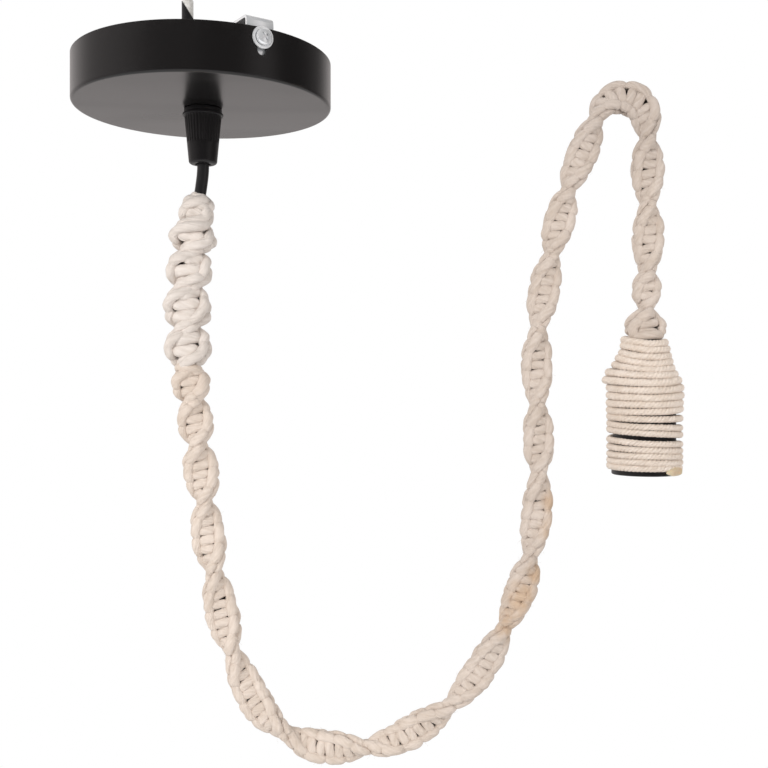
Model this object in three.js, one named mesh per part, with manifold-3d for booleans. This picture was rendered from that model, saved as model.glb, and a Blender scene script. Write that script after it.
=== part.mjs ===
// Pendant cord set: ceiling cup, cord grip, knotted cotton cord and rope-wrapped E27 lampholder.
// Millimetres, +Z up. The origin is the middle of the bracket's top face, which meets the ceiling.

import * as THREE from "three";
import { mergeVertices } from "three/addons/utils/BufferGeometryUtils.js";
import Module from "manifold-3d";

const wasm = await Module();
wasm.setup();

// Clearances
const SEAT = 0.3; // between faces that touch
const THREAD_GAP = 0.3; // around a screw in its thread
const SLOT_GAP = 0.6; // around a screw in a slot

// Ceiling cup
const CUP_RADIUS = 75;
const CUP_HEIGHT = 27;
const CUP_WALL = 1;
const CUP_EDGE = 3; // outer radius where wall and face meet
const CUP_DROP = 6.5; // rim below the ceiling, until it is pushed up its slots
const CUP_FACETS = 64;
const RIM_Z = -CUP_DROP;
const FACE_Z = RIM_Z - CUP_HEIGHT;
const FLOOR_Z = FACE_Z + CUP_WALL;

// Ceiling bracket, a strip with both ends bent down
const BRACKET_TURN = THREE.MathUtils.degToRad(34);
const BRACKET_WIDTH = 16;
const BRACKET_SHEET = 1.6;
const BRACKET_BEND = 3;
const BRACKET_GAP = 1; // tabs to the cup's wall
const BRACKET_TAB = 22; // how far the tabs hang down
const FIXING_SPACING = 64;
const FIXING_SLOT_WIDTH = 5;
const FIXING_SLOT_LENGTH = 18;
const EARTH_SCREW_INSET = 23; // from the cup's wall

// Side screws and washers
const SCREW_RADIUS = 2;
const SCREW_HEAD_RADIUS = 4.1;
const SCREW_HEAD_HEIGHT = 2.6;
const SCREW_PAST_TAB = 4;
const SCREW_DEPTH = 12.2; // axis below the ceiling
const WASHER_RADIUS = 6;
const WASHER_SHEET = 0.9;
const WASHER_DISH = 1.5;

// Cord
const CABLE_RADIUS = 3.5;
const CABLE_SIDES = 8;
const CABLE_STEPS = 66;
const CORE_RADIUS = 3.2;
const CONDUCTOR_RADIUS = 1.1;
const CONDUCTOR_PAST_CORE = 6;

// Cord grip
const GRIP_LENGTH = 32.5; // below the cup's face
const GRIP_BORE_GAP = 0.6; // around the cable
const STUB_RADIUS = 4.9;
const STUB_GAP = 0.4; // in the cup's hole
const STUB_PAST_FLOOR = 6;
const COLLAR_RADIUS = 11;
const COLLAR_HEIGHT = 2.2;
const SPIGOT_RADIUS = 6.6;
const SPIGOT_LENGTH = 13;
const CONE_LIP_RADIUS = 11.8;
const CONE_LIP_HEIGHT = 1.5;
const CONE_TOP_RADIUS = 10.8;
const CONE_END_RADIUS = 8.3;
const CONE_END_ROUND = 2;
const CONE_MOUTH = 1.1; // opening around the cable
const RIB_COUNT = 32;
const RIB_DEPTH = 0.35;
const RIB_END = 0.62; // share of the cone's length that is ribbed
const COLLET_LENGTH = 7;
const NUT_ACROSS_FLATS = 14;
const NUT_HEIGHT = 3;
const LOCK_WASHER_RADIUS = 8.6;
const LOCK_WASHER_SHEET = 0.8;

// Knotted sleeve
const SLEEVE_GAP = 0.3; // around the cable
const SLEEVE_START = 25; // along the cord, from its top end
const WHITE_LENGTH = 101;
const KNOT_PITCH = 5.5;
const WHITE_KNOT_PITCH = 6.6; // looser than the rest
const KNOT_RIDGE = 0.05; // share of the sleeve's width
const SLEEVE_SIDES = 8;

// Lampholder
const HOLDER_X = 259.5;
const HOLDER_TOP = -170;
const HOLDER_RADIUS = 18;
const HOLDER_LENGTH = 78;
const CAP_TOP_RADIUS = 9.6;
const CAP_SLOPE = 24; // height of the cap's sloped part
const CAP_SKIRT = 5;
// The cap's slope, as shares of its height and of its rise from the top's radius to the skirt's
const CAP_FORM = [[0, 0], [0.32, 0.2], [0.65, 0.45], [0.86, 0.72], [1, 1]];
const CAP_WALL = 2;
const RIM_RADIUS = 19;
const RIM_HEIGHT = 2.8;
const SHELL_WALL = 2.4;
const NECK_GAP = 0.6; // above the shell's neck
const NECK_WALL = 1.6;
const BUSH_RADIUS = 5;
const BUSH_FLANGE_RADIUS = 7.6;
const BUSH_FLANGE = 1.2;
const BUSH_GAP = 0.3; // around the cable
const INSERT_HEIGHT = 12;
const INSERT_GAP = 0.4;
const SOCKET_RADIUS = 13.9; // outside the screw shell's crests
const SOCKET_SHEET = 0.5;
const SOCKET_LENGTH = 27;
const THREAD_PITCH = 3.6;
const THREAD_DEPTH = 0.7;
const CONTACT_WIDTH = 5;
const CONTACT_SHEET = 0.6;
const CONTACT_DROP = 4;
const TERMINAL_AT = 7;
const TERMINAL_SIZE = 6;
const TERMINAL_SCREW_RADIUS = 1.5;
const TERMINAL_HEAD_RADIUS = 2.4;
const TERMINAL_HEAD_HEIGHT = 1.6;
const TERMINAL_SCREW_UP = 1.2; // above the insert's top

// Rope winding
const ROPE_RADIUS = 1.93;
const ROPE_PITCH = 4.05;
const ROPE_SIDES = 6;
const ROPE_STEPS = 12; // for each turn
const ROPE_SEAT = 0.25;

// Drop of glue on the rim
const GLUE_HALF = [4.7, 2.1, 1.35]; // along the rim, out and up
const GLUE_TURN = THREE.MathUtils.degToRad(-35);
const GLUE_DROP = 1.4; // below the rim's top

// Route of the free cord in its plane, as x and z, from inside the grip to inside the cap
const CORD_POINTS = [
  [0, -60], [0, -70], [-1.6, -83], [-6.4, -112], [-8.9, -145], [-8.3, -182], [-4.8, -214],
  [-0.6, -250], [4.6, -295], [16, -348], [25.5, -371.5], [39, -392], [58, -405],
  [81.5, -409], [106, -406.5], [128, -396.2], [148, -381], [163.5, -362], [176, -340.5],
  [186, -318], [193, -293], [196.8, -264], [197.2, -231], [196.3, -196], [196.9, -165],
  [201, -138], [208, -105], [216.5, -76], [225.9, -52.5], [232.7, -35.5], [236.6, -30],
  [242.4, -26.9], [249, -26.7], [255.2, -29.5], [259.3, -34.6], [260.8, -41], [261.4, -66],
  [261.6, -112], [260, -160], [259.5, -182],
];
const HUMP_START = 812; // along the cord, where it turns over its hook
const HUMP_END = 878;
const HUMP_STEPS = 12;

// Route of the cable's tail, from inside the grip to above the ceiling
const TAIL_POINTS = [
  [0, 0, -59.7], [0, 0, -40], [0, 0, -28], [-1.1, -1.9, -21.5], [-3.35, -5.9, -14.6],
  [-5.7, -10.1, -7.5], [-6.7, -11.8, -1], [-6.7, -11.8, 8], [-6.7, -11.8, 26],
];
const TAIL_STEPS = 16;
const TAIL_CUT_Z = 20.5; // middle of the slanting end of the black sheath
const TAIL_CUT_TILT = THREE.MathUtils.degToRad(57);

// Where the sleeve shows its edge, along the sleeve: each is half a turn after the last
const WAISTS = [
  18, 33.5, 52.7, 78.5, 101.2, 123.8, 146.4, 180.7, 222, 271, 330, 379, 434.5, 491, 535, 584,
  624, 669, 713, 752, 796.5, 849.5, 887.5, 929, 952,
];
// Half-width and half-thickness of the sleeve along it
const SLEEVE_FORM = [
  [0, 6, 5.6], [9, 9.9, 8], [24, 13.2, 8.6], [90, 13.2, 8.3], [108, 11.6, 6.8], [134, 10.6, 5.2],
  [185, 9.9, 5], [540, 9, 4.9], [790, 9.1, 4.9], [826, 9.9, 5.2], [940, 8.7, 4.9],
  [958, 11.6, 6.6], [968, 7, 6],
];

const COLOURS = {
  blackMetal: [0x201f20, 0.42, 0.35],
  blackPlastic: [0x19181a, 0.5, 0],
  zinc: [0xc9cbcc, 0.28, 1],
  brass: [0xb9975a, 0.35, 1],
  cableBlack: [0x1c1b1c, 0.55, 0],
  rubber: [0x262626, 0.85, 0],
  paleCore: [0xcfcbc4, 0.7, 0],
  whiteCotton: [0xe6ded6, 0.95, 0],
  naturalCotton: [0xe4d5c6, 0.95, 0],
  rope: [0xe0cdb6, 0.95, 0],
  ceramic: [0xe9e6df, 0.35, 0],
  glue: [0xd8c48e, 0.4, 0],
  brown: [0x5b3720, 0.5, 0],
  blue: [0x2b57a8, 0.5, 0],
  green: [0x6f9a2d, 0.5, 0],
};

const root = new THREE.Group();

function material(name) {
  const [color, roughness, metalness] = COLOURS[name];
  return new THREE.MeshStandardMaterial({ color, roughness, metalness });
}

// A closed geometry with shared corners and its faces pointing out
function solid(geometry) {
  geometry.deleteAttribute("normal");
  geometry.deleteAttribute("uv");
  const merged = mergeVertices(geometry, 1e-4);
  const index = Array.from(merged.index.array);
  const kept = [];
  for (let i = 0; i < index.length; i += 3) {
    const [a, b, c] = index.slice(i, i + 3);
    if (a !== b && b !== c && c !== a) kept.push(a, b, c);
  }
  if (signedVolume(merged.attributes.position.array, kept) < 0) kept.reverse();
  merged.setIndex(kept);
  return merged;
}

function signedVolume(positions, index) {
  const at = (i) => new THREE.Vector3().fromArray(positions, 3 * i);
  let sum = 0;
  for (let i = 0; i < index.length; i += 3) {
    sum += at(index[i]).dot(at(index[i + 1]).cross(at(index[i + 2])));
  }
  return sum / 6;
}

function toManifold(geometry) {
  const closed = solid(geometry);
  return new wasm.Manifold(new wasm.Mesh({
    numProp: 3,
    vertProperties: new Float32Array(closed.attributes.position.array),
    triVerts: new Uint32Array(closed.index.array),
  }));
}

function fromManifold(manifold) {
  const mesh = manifold.getMesh();
  const geometry = new THREE.BufferGeometry();
  geometry.setAttribute("position", new THREE.BufferAttribute(new Float32Array(mesh.vertProperties), 3));
  geometry.setIndex(Array.from(mesh.triVerts));
  return geometry;
}

function cut(body, ...cutters) {
  let result = toManifold(body);
  for (const cutter of cutters) result = result.subtract(toManifold(cutter));
  return fromManifold(result);
}

function join(...bodies) {
  let result = toManifold(bodies[0]);
  for (const body of bodies.slice(1)) result = result.add(toManifold(body));
  return fromManifold(result);
}

function add(parent, name, geometry, look) {
  const mesh = new THREE.Mesh(solid(geometry), material(look));
  mesh.name = name;
  parent.add(mesh);
  return mesh;
}

// A turned solid about Z from a closed outline of radius and z
function turned(outline, facets) {
  const points = outline.map(([r, z]) => new THREE.Vector2(r, z));
  if (points[0].x > 0 || points.at(-1).x > 0) points.push(points[0].clone());
  return new THREE.LatheGeometry(points, facets).rotateX(Math.PI / 2);
}

// Points on an arc in the outline, angles in degrees from +r towards +z
function arc(centreR, centreZ, radius, from, to, steps) {
  const points = [];
  for (let i = 0; i <= steps; i++) {
    const angle = THREE.MathUtils.degToRad(from + ((to - from) * i) / steps);
    points.push([centreR + radius * Math.cos(angle), centreZ + radius * Math.sin(angle)]);
  }
  return points;
}

function polygon(sides, radius) {
  const points = [];
  for (let i = 0; i < sides; i++) {
    const angle = (2 * Math.PI * (i + 0.5)) / sides;
    points.push(new THREE.Vector2(radius * Math.cos(angle), radius * Math.sin(angle)));
  }
  return points;
}

function tube(path, radius, sides, steps) {
  const section = new THREE.Shape(polygon(sides, radius));
  return new THREE.ExtrudeGeometry(section, { extrudePath: path, steps, bevelEnabled: false });
}

// A slot with round ends, upright in X and Z, cut along Y
function slot(width, centreLow, centreHigh, depth) {
  const half = width / 2;
  const shape = new THREE.Shape();
  shape.absarc(0, centreHigh, half, 0, Math.PI, false);
  shape.absarc(0, centreLow, half, Math.PI, 2 * Math.PI, false);
  shape.closePath();
  const body = new THREE.ExtrudeGeometry(shape, { depth, bevelEnabled: false, curveSegments: 8 });
  return body.translate(0, 0, -depth / 2).rotateX(Math.PI / 2);
}

// Ceiling cup
function ceilingCup() {
  const outer = CUP_RADIUS;
  const inner = CUP_RADIUS - CUP_WALL;
  const bend = CUP_RADIUS - CUP_EDGE;
  const hole = STUB_RADIUS + STUB_GAP;
  const outline = [
    [outer, RIM_Z],
    ...arc(bend, FACE_Z + CUP_EDGE, CUP_EDGE, 0, -90, 3),
    [hole, FACE_Z],
    [hole, FLOOR_Z],
    ...arc(bend, FACE_Z + CUP_EDGE, CUP_EDGE - CUP_WALL, -90, 0, 2),
    [inner, RIM_Z],
  ];
  const width = 2 * (SCREW_RADIUS + SLOT_GAP);
  const cutters = [0, Math.PI].map((side) =>
    slot(width, -SCREW_DEPTH - CUP_DROP, -SCREW_DEPTH, 4 * CUP_WALL)
      .translate(0, -CUP_RADIUS, 0)
      .rotateZ(BRACKET_TURN + side));
  add(root, "canopy_cup", cut(turned(outline, CUP_FACETS), ...cutters), "blackMetal");
}

// Ceiling bracket: the strip runs along Y in its turned group
const bracketEnd = CUP_RADIUS - CUP_WALL - BRACKET_GAP;
const earthScrewAt = CUP_RADIUS - EARTH_SCREW_INSET;

function ceilingBracket(group) {
  const bend = bracketEnd - BRACKET_BEND;
  const inside = BRACKET_BEND - BRACKET_SHEET;
  const right = [
    ...arc(bend, -BRACKET_BEND, BRACKET_BEND, 90, 0, 4),
    [bracketEnd, -BRACKET_TAB],
    [bracketEnd - BRACKET_SHEET, -BRACKET_TAB],
    ...arc(bend, -BRACKET_BEND, inside, 0, 90, 4),
  ];
  const left = right.map(([y, z]) => [-y, z]).reverse();
  const shape = new THREE.Shape([...right, ...left].map(([y, z]) => new THREE.Vector2(y, z)));
  const strip = new THREE.ExtrudeGeometry(shape, { depth: BRACKET_WIDTH, bevelEnabled: false });
  strip.translate(0, 0, -BRACKET_WIDTH / 2);
  const turn = new THREE.Matrix4().makeBasis(
    new THREE.Vector3(0, 1, 0), new THREE.Vector3(0, 0, 1), new THREE.Vector3(1, 0, 0));
  strip.applyMatrix4(turn);
  const half = (FIXING_SLOT_LENGTH - FIXING_SLOT_WIDTH) / 2;
  const fixings = [-1, 1].map((side) =>
    slot(FIXING_SLOT_WIDTH, -half, half, 4 * BRACKET_SHEET)
      .rotateX(Math.PI / 2)
      .translate(0, (side * FIXING_SPACING) / 2, 0));
  const hole = new THREE.CylinderGeometry(SCREW_RADIUS + THREAD_GAP, SCREW_RADIUS + THREAD_GAP,
    2 * CUP_RADIUS + 10, 16);
  hole.translate(0, 0, -SCREW_DEPTH);
  const earth = new THREE.CylinderGeometry(SCREW_RADIUS + THREAD_GAP, SCREW_RADIUS + THREAD_GAP,
    4 * BRACKET_SHEET, 16);
  earth.rotateX(Math.PI / 2).translate(0, earthScrewAt, 0);
  add(group, "ceiling_bracket", cut(strip, ...fixings, hole, earth), "zinc");
}

// A pan-head screw along Z, its seat at 0 and its head above, with a cross recess
function panScrew(radius, length, headRadius, headHeight) {
  const crown = headHeight * 0.55;
  const body = turned([
    [0, -length],
    [radius * 0.7, -length],
    [radius, -length + radius * 0.5],
    [radius, 0],
    [headRadius, 0],
    [headRadius, headHeight - crown],
    [headRadius * 0.82, headHeight - crown * 0.3],
    [0, headHeight],
  ], 16);
  const width = headRadius * 0.24;
  const span = headRadius * 1.15;
  const depth = headHeight * 0.8;
  const bars = [new THREE.BoxGeometry(span, width, depth), new THREE.BoxGeometry(width, span, depth)];
  return cut(body, join(...bars).translate(0, 0, headHeight));
}

function dishedWasher() {
  const bore = SCREW_RADIUS + THREAD_GAP;
  return turned([
    [bore, 0],
    [WASHER_RADIUS - 0.4, 0],
    [WASHER_RADIUS, 0.4],
    [WASHER_RADIUS, WASHER_DISH - 0.4],
    [WASHER_RADIUS - 0.4, WASHER_DISH],
    [SCREW_HEAD_RADIUS + SEAT + 0.6, WASHER_DISH],
    [SCREW_HEAD_RADIUS + SEAT, WASHER_SHEET],
    [bore, WASHER_SHEET],
  ], 24);
}

function sideScrews() {
  const seat = CUP_RADIUS + SEAT;
  const headSeat = seat + WASHER_SHEET + SEAT;
  const length = headSeat - bracketEnd + BRACKET_SHEET + SCREW_PAST_TAB;
  [["front", 0], ["back", Math.PI]].forEach(([side, turn]) => {
    const group = new THREE.Group();
    group.rotation.z = BRACKET_TURN + turn;
    root.add(group);
    const washer = dishedWasher().rotateX(Math.PI / 2);
    add(group, `side_washer_${side}`, washer, "zinc").position.set(0, -seat, -SCREW_DEPTH);
    const screw = panScrew(SCREW_RADIUS, length, SCREW_HEAD_RADIUS, SCREW_HEAD_HEIGHT);
    screw.rotateZ(Math.PI / 5).rotateX(Math.PI / 2);
    add(group, `side_screw_${side}`, screw, "zinc").position.set(0, -headSeat, -SCREW_DEPTH);
  });
}

// Cord grip, seated on the cup's face
const gripTop = FACE_Z - SEAT;
const gripEnd = FACE_Z - GRIP_LENGTH;
const collarEnd = gripTop - COLLAR_HEIGHT;
const coneTop = collarEnd - SEAT;
const spigotEnd = collarEnd - SPIGOT_LENGTH;
const gripBore = CABLE_RADIUS + GRIP_BORE_GAP;

function gripCollar() {
  const outline = [
    [STUB_RADIUS - 0.4, FLOOR_Z + STUB_PAST_FLOOR],
    [STUB_RADIUS, FLOOR_Z + STUB_PAST_FLOOR - 0.4],
    [STUB_RADIUS, gripTop],
    [COLLAR_RADIUS, gripTop],
    [COLLAR_RADIUS, collarEnd],
    [SPIGOT_RADIUS, collarEnd],
    [SPIGOT_RADIUS, spigotEnd],
    [gripBore, spigotEnd],
    [gripBore, FLOOR_Z + STUB_PAST_FLOOR],
  ];
  add(root, "grip_collar", turned(outline, 24), "blackPlastic");
}

// The cone has upright ribs, so each ring of its outline has a rib depth of its own
function gripCone() {
  const inside = SPIGOT_RADIUS + SEAT;
  const mouth = CABLE_RADIUS + CONE_MOUTH;
  const tip = gripEnd + CONE_END_ROUND;
  const lipEnd = coneTop - CONE_LIP_HEIGHT;
  const radiusAt = (z) => THREE.MathUtils.mapLinear(z, lipEnd, tip, CONE_TOP_RADIUS, CONE_END_RADIUS);
  const ribEnd = THREE.MathUtils.lerp(lipEnd, tip, RIB_END);
  const ribStart = lipEnd - 0.8;
  const rings = [
    [inside, coneTop, 0],
    [CONE_LIP_RADIUS, coneTop, 0],
    [CONE_LIP_RADIUS, lipEnd, 0],
    [radiusAt(lipEnd), lipEnd - 0.05, 0],
    [radiusAt(ribStart), ribStart, RIB_DEPTH],
    [radiusAt(ribEnd + 1), ribEnd + 1, RIB_DEPTH],
    [radiusAt(ribEnd), ribEnd, 0],
    ...arc(CONE_END_RADIUS - CONE_END_ROUND, tip, CONE_END_ROUND, 0, -90, 3).map(([r, z]) => [r, z, 0]),
    [mouth, gripEnd, 0],
    [mouth, gripEnd + 3, 0],
    [inside, spigotEnd - 1, 0],
  ];
  const columns = 2 * RIB_COUNT;
  const positions = [];
  const index = [];
  rings.forEach(([radius, z, depth]) => {
    for (let i = 0; i < columns; i++) {
      const angle = (2 * Math.PI * i) / columns;
      const r = radius - (i % 2) * depth;
      positions.push(r * Math.cos(angle), r * Math.sin(angle), z);
    }
  });
  stitch(index, rings.length, columns, true);
  add(root, "grip_cone", indexed(positions, index), "blackPlastic");
}

// Two triangles for each cell between neighbouring rings of points
function stitch(index, rings, columns, closed, offset = 0) {
  const last = closed ? rings : rings - 1;
  for (let row = 0; row < last; row++) {
    for (let i = 0; i < columns; i++) {
      const a = offset + row * columns + i;
      const b = offset + row * columns + ((i + 1) % columns);
      const c = offset + ((row + 1) % rings) * columns + i;
      const d = offset + ((row + 1) % rings) * columns + ((i + 1) % columns);
      index.push(a, b, d, a, d, c);
    }
  }
}

function indexed(positions, index) {
  const geometry = new THREE.BufferGeometry();
  geometry.setAttribute("position", new THREE.Float32BufferAttribute(positions, 3));
  geometry.setIndex(index);
  return geometry;
}

function gripInnards() {
  const colletTop = spigotEnd - SEAT;
  const top = SPIGOT_RADIUS - 1;
  const collet = turned([
    [gripBore, colletTop],
    [top, colletTop],
    [gripBore + 0.5, colletTop - COLLET_LENGTH],
    [gripBore, colletTop - COLLET_LENGTH],
  ], 24);
  add(root, "grip_collet", collet, "rubber");
  const bore = STUB_RADIUS + THREAD_GAP;
  const washerZ = FLOOR_Z + SEAT;
  const washer = new THREE.Shape();
  const teeth = 12;
  for (let i = 0; i <= 2 * teeth; i++) {
    const r = LOCK_WASHER_RADIUS - (i % 2) * 1.2;
    const angle = (Math.PI * i) / teeth;
    if (i === 0) washer.moveTo(r, 0);
    else if (i < 2 * teeth) washer.lineTo(r * Math.cos(angle), r * Math.sin(angle));
  }
  washer.closePath();
  washer.holes.push(new THREE.Path(polygon(24, bore)));
  const disc = new THREE.ExtrudeGeometry(washer, { depth: LOCK_WASHER_SHEET, bevelEnabled: false });
  add(root, "lock_washer", disc, "zinc").position.z = washerZ;
  const nut = new THREE.Shape(polygon(6, NUT_ACROSS_FLATS / 2 / Math.cos(Math.PI / 6)));
  nut.holes.push(new THREE.Path(polygon(24, bore)));
  const hex = new THREE.ExtrudeGeometry(nut, { depth: NUT_HEIGHT, bevelEnabled: false });
  add(root, "lock_nut", hex, "brass").position.z = washerZ + LOCK_WASHER_SHEET + SEAT;
}

// Cable tail inside the cup, its slanting sheath end, pale core and conductors
function cableTail() {
  const path = new THREE.CatmullRomCurve3(TAIL_POINTS.map(([x, y, z]) => new THREE.Vector3(x, y, z)));
  const [x, y, top] = TAIL_POINTS.at(-1);
  const sheath = tube(path, CABLE_RADIUS, CABLE_SIDES, TAIL_STEPS);
  const block = () => new THREE.BoxGeometry(60, 60, 60).translate(0, 0, 30);
  const above = block().rotateY(TAIL_CUT_TILT).translate(x, y, TAIL_CUT_Z);
  add(root, "cable_tail", cut(sheath, above), "cableBlack");
  const core = new THREE.CylinderGeometry(CORE_RADIUS, CORE_RADIUS, 20, 16).rotateX(Math.PI / 2);
  core.translate(x, y, top - 10);
  const below = block().rotateX(Math.PI).translate(0, 0, SEAT).rotateY(TAIL_CUT_TILT);
  below.translate(x, y, TAIL_CUT_Z);
  add(root, "tail_core", cut(core, below), "paleCore");
  ["brown", "blue", "green"].forEach((look, i) => {
    const angle = (2 * Math.PI * i) / 3 + 0.4;
    const wire = new THREE.CylinderGeometry(CONDUCTOR_RADIUS, CONDUCTOR_RADIUS, CONDUCTOR_PAST_CORE, 12);
    wire.rotateX(Math.PI / 2);
    const mesh = add(root, `tail_conductor_${look}`, wire, look);
    mesh.position.set(x + 1.6 * Math.cos(angle), y + 1.6 * Math.sin(angle),
      top + SEAT + CONDUCTOR_PAST_CORE / 2);
  });
}

// Free cord. Its steps are closer together where it turns over its hook.
class CordRoute extends THREE.CatmullRomCurve3 {
  getUtoTmapping(u, distance = null) {
    return super.getUtoTmapping(distance === null ? this.shareAt(u) : u, distance);
  }

  shareAt(u) {
    const length = this.getLength();
    const calm = CABLE_STEPS - HUMP_STEPS;
    const before = Math.round((calm * HUMP_START) / (HUMP_START + length - HUMP_END));
    const step = u * CABLE_STEPS;
    const { mapLinear } = THREE.MathUtils;
    if (step <= before) return mapLinear(step, 0, before, 0, HUMP_START) / length;
    if (step <= before + HUMP_STEPS) {
      return mapLinear(step, before, before + HUMP_STEPS, HUMP_START, HUMP_END) / length;
    }
    return mapLinear(step, before + HUMP_STEPS, CABLE_STEPS, HUMP_END, length) / length;
  }

  // Point, tangent and in-plane normal at a distance along the cord
  frameAt(distance) {
    const t = this.getUtoTmapping(0, Math.max(distance, 1e-6));
    const tangent = this.getTangent(t);
    return { point: this.getPoint(t), normal: new THREE.Vector3(tangent.z, 0, -tangent.x) };
  }
}

const cordPoints = CORD_POINTS.map(([x, z]) => new THREE.Vector3(x, 0, z));
const cordRoute = new CordRoute(cordPoints, false, "centripetal");
cordRoute.arcLengthDivisions = 3000;
const cordEnd = CORD_POINTS.at(-1)[1];
// The sleeve ends on the bush, where the cord hangs upright
const sleeveEnd = cordRoute.getLength() - (HOLDER_TOP + BUSH_FLANGE + 2 * SEAT - cordEnd);
const sleeveLength = sleeveEnd - SLEEVE_START;

// Value at a place in a list of rows that start with the place
function along(rows, place, column) {
  const next = Math.max(1, rows.findIndex(([at]) => at >= place));
  const [a, b] = place >= rows.at(-1)[0] ? rows.slice(-2) : [rows[next - 1], rows[next]];
  return THREE.MathUtils.mapLinear(place, a[0], b[0], a[column], b[column]);
}

const twistRows = WAISTS.map((at, i) => [at, (i + 0.5) * Math.PI]);

// Knotted sleeve: a twisted lens of knots around the cable, with a bore for it
function knottedSleeve(name, from, to, pitch, look) {
  const rows = Math.round((to - from) / pitch);
  const positions = [];
  const index = [];
  const place = (distance, section) => {
    const { point, normal } = cordRoute.frameAt(SLEEVE_START + distance);
    section.forEach(({ x, y }) => {
      positions.push(point.x + normal.x * x, y, point.z + normal.z * x);
    });
  };
  const outerAt = (distance, ridge) => {
    const twist = along(twistRows, distance, 1);
    const a = along(SLEEVE_FORM, distance, 1) * (1 + ridge);
    const b = along(SLEEVE_FORM, distance, 2) * (1 + ridge / 2);
    const section = [];
    for (let i = 0; i < SLEEVE_SIDES; i++) {
      const angle = (2 * Math.PI * i) / SLEEVE_SIDES;
      const point = new THREE.Vector2(a * Math.cos(angle), b * Math.sin(angle));
      section.push(point.rotateAround(new THREE.Vector2(), twist));
    }
    return section;
  };
  for (let i = 0; i <= rows; i++) {
    const distance = THREE.MathUtils.lerp(from, to, i / rows);
    place(distance, outerAt(distance, i % 2 ? KNOT_RIDGE : -KNOT_RIDGE));
  }
  stitch(index, rows + 1, SLEEVE_SIDES, false);
  const start = SLEEVE_START + from;
  const end = SLEEVE_START + to;
  const length = cordRoute.getLength();
  const stations = [start];
  for (let i = 0; i <= CABLE_STEPS; i++) {
    const at = cordRoute.shareAt(i / CABLE_STEPS) * length;
    if (at > start + 1 && at < end - 1) stations.push(at);
  }
  stations.push(end);
  const bore = polygon(CABLE_SIDES, (CABLE_RADIUS + SLEEVE_GAP) / Math.cos(Math.PI / CABLE_SIDES));
  const boreStart = positions.length / 3;
  stations.forEach((at) => place(at - SLEEVE_START, bore));
  const boreIndex = [];
  stitch(boreIndex, stations.length, CABLE_SIDES, false, boreStart);
  index.push(...boreIndex.reverse());
  [[0, boreStart, from, -KNOT_RIDGE, true],
    [rows * SLEEVE_SIDES, positions.length / 3 - CABLE_SIDES, to,
      rows % 2 ? KNOT_RIDGE : -KNOT_RIDGE, false],
  ].forEach(([outerStart, holeStart, distance, ridge, flip]) => {
    const outer = outerAt(distance, ridge);
    const faces = THREE.ShapeUtils.triangulateShape(outer, [bore]);
    const vertex = (i) => (i < SLEEVE_SIDES ? outerStart + i : holeStart + i - SLEEVE_SIDES);
    faces.forEach((face) => {
      const corners = face.map(vertex);
      index.push(...(flip ? corners.reverse() : corners));
    });
  });
  add(root, name, indexed(positions, index), look);
}

function cord() {
  add(root, "cable", tube(cordRoute, CABLE_RADIUS, CABLE_SIDES, CABLE_STEPS), "cableBlack");
  knottedSleeve("macrame_white", 0, WHITE_LENGTH - SEAT / 2, WHITE_KNOT_PITCH, "whiteCotton");
  knottedSleeve("macrame_natural", WHITE_LENGTH + SEAT / 2, sleeveLength, KNOT_PITCH, "naturalCotton");
}

// Lampholder, about its own axis
const capEnd = HOLDER_TOP - CAP_SLOPE - CAP_SKIRT;
const mouthZ = HOLDER_TOP - HOLDER_LENGTH;
const rimTop = mouthZ + RIM_HEIGHT;

// The cap's outside as radius, z and how far its inside lies below it
function capOutside() {
  const slopeEnd = HOLDER_TOP - CAP_SLOPE;
  return CAP_FORM.map(([down, out]) => [
    THREE.MathUtils.lerp(CAP_TOP_RADIUS, HOLDER_RADIUS, out),
    THREE.MathUtils.lerp(HOLDER_TOP - 1, slopeEnd, down),
    CAP_WALL * (1 - down),
  ]);
}

function holderCap(group) {
  const bore = BUSH_RADIUS + BUSH_GAP;
  const outside = capOutside();
  const inside = outside.map(([r, z, drop]) => [Math.max(r - CAP_WALL, bore), z - drop]).reverse();
  const outline = [
    [bore, HOLDER_TOP],
    [CAP_TOP_RADIUS - 1, HOLDER_TOP],
    ...outside.map(([r, z]) => [r, z]),
    [HOLDER_RADIUS, capEnd],
    [HOLDER_RADIUS - CAP_WALL, capEnd],
    ...inside,
    [bore, HOLDER_TOP - 1 - CAP_WALL],
  ];
  add(group, "holder_cap", turned(outline, 32), "blackPlastic");
  const bush = turned([
    [CABLE_RADIUS + BUSH_GAP, HOLDER_TOP + SEAT + BUSH_FLANGE],
    [BUSH_FLANGE_RADIUS, HOLDER_TOP + SEAT + BUSH_FLANGE],
    [BUSH_FLANGE_RADIUS, HOLDER_TOP + SEAT],
    [BUSH_RADIUS, HOLDER_TOP + SEAT],
    [BUSH_RADIUS, HOLDER_TOP - 5],
    [CABLE_RADIUS + BUSH_GAP, HOLDER_TOP - 5],
  ], 24);
  add(group, "entry_bush", bush, "blackPlastic");
}

const neckRadius = HOLDER_RADIUS - CAP_WALL - SEAT;
const shellBore = HOLDER_RADIUS - SHELL_WALL;
const shellTop = capEnd - SEAT;
const neckTop = HOLDER_TOP - CAP_SLOPE - NECK_GAP;

function holderShell(group) {
  const outline = [
    [neckRadius - NECK_WALL, neckTop],
    [neckRadius, neckTop],
    [neckRadius, shellTop],
    [HOLDER_RADIUS, shellTop],
    [HOLDER_RADIUS, rimTop],
    [RIM_RADIUS, rimTop],
    [RIM_RADIUS, mouthZ + 0.8],
    [RIM_RADIUS - 0.8, mouthZ],
    [shellBore + 0.8, mouthZ],
    [shellBore, mouthZ + 0.8],
    [shellBore, shellTop - 2],
    [neckRadius - NECK_WALL, shellTop - 2],
  ];
  add(group, "holder_shell", turned(outline, 32), "blackPlastic");
}

const insertTop = shellTop - 2 - SEAT;
const insertEnd = insertTop - INSERT_HEIGHT;

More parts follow.
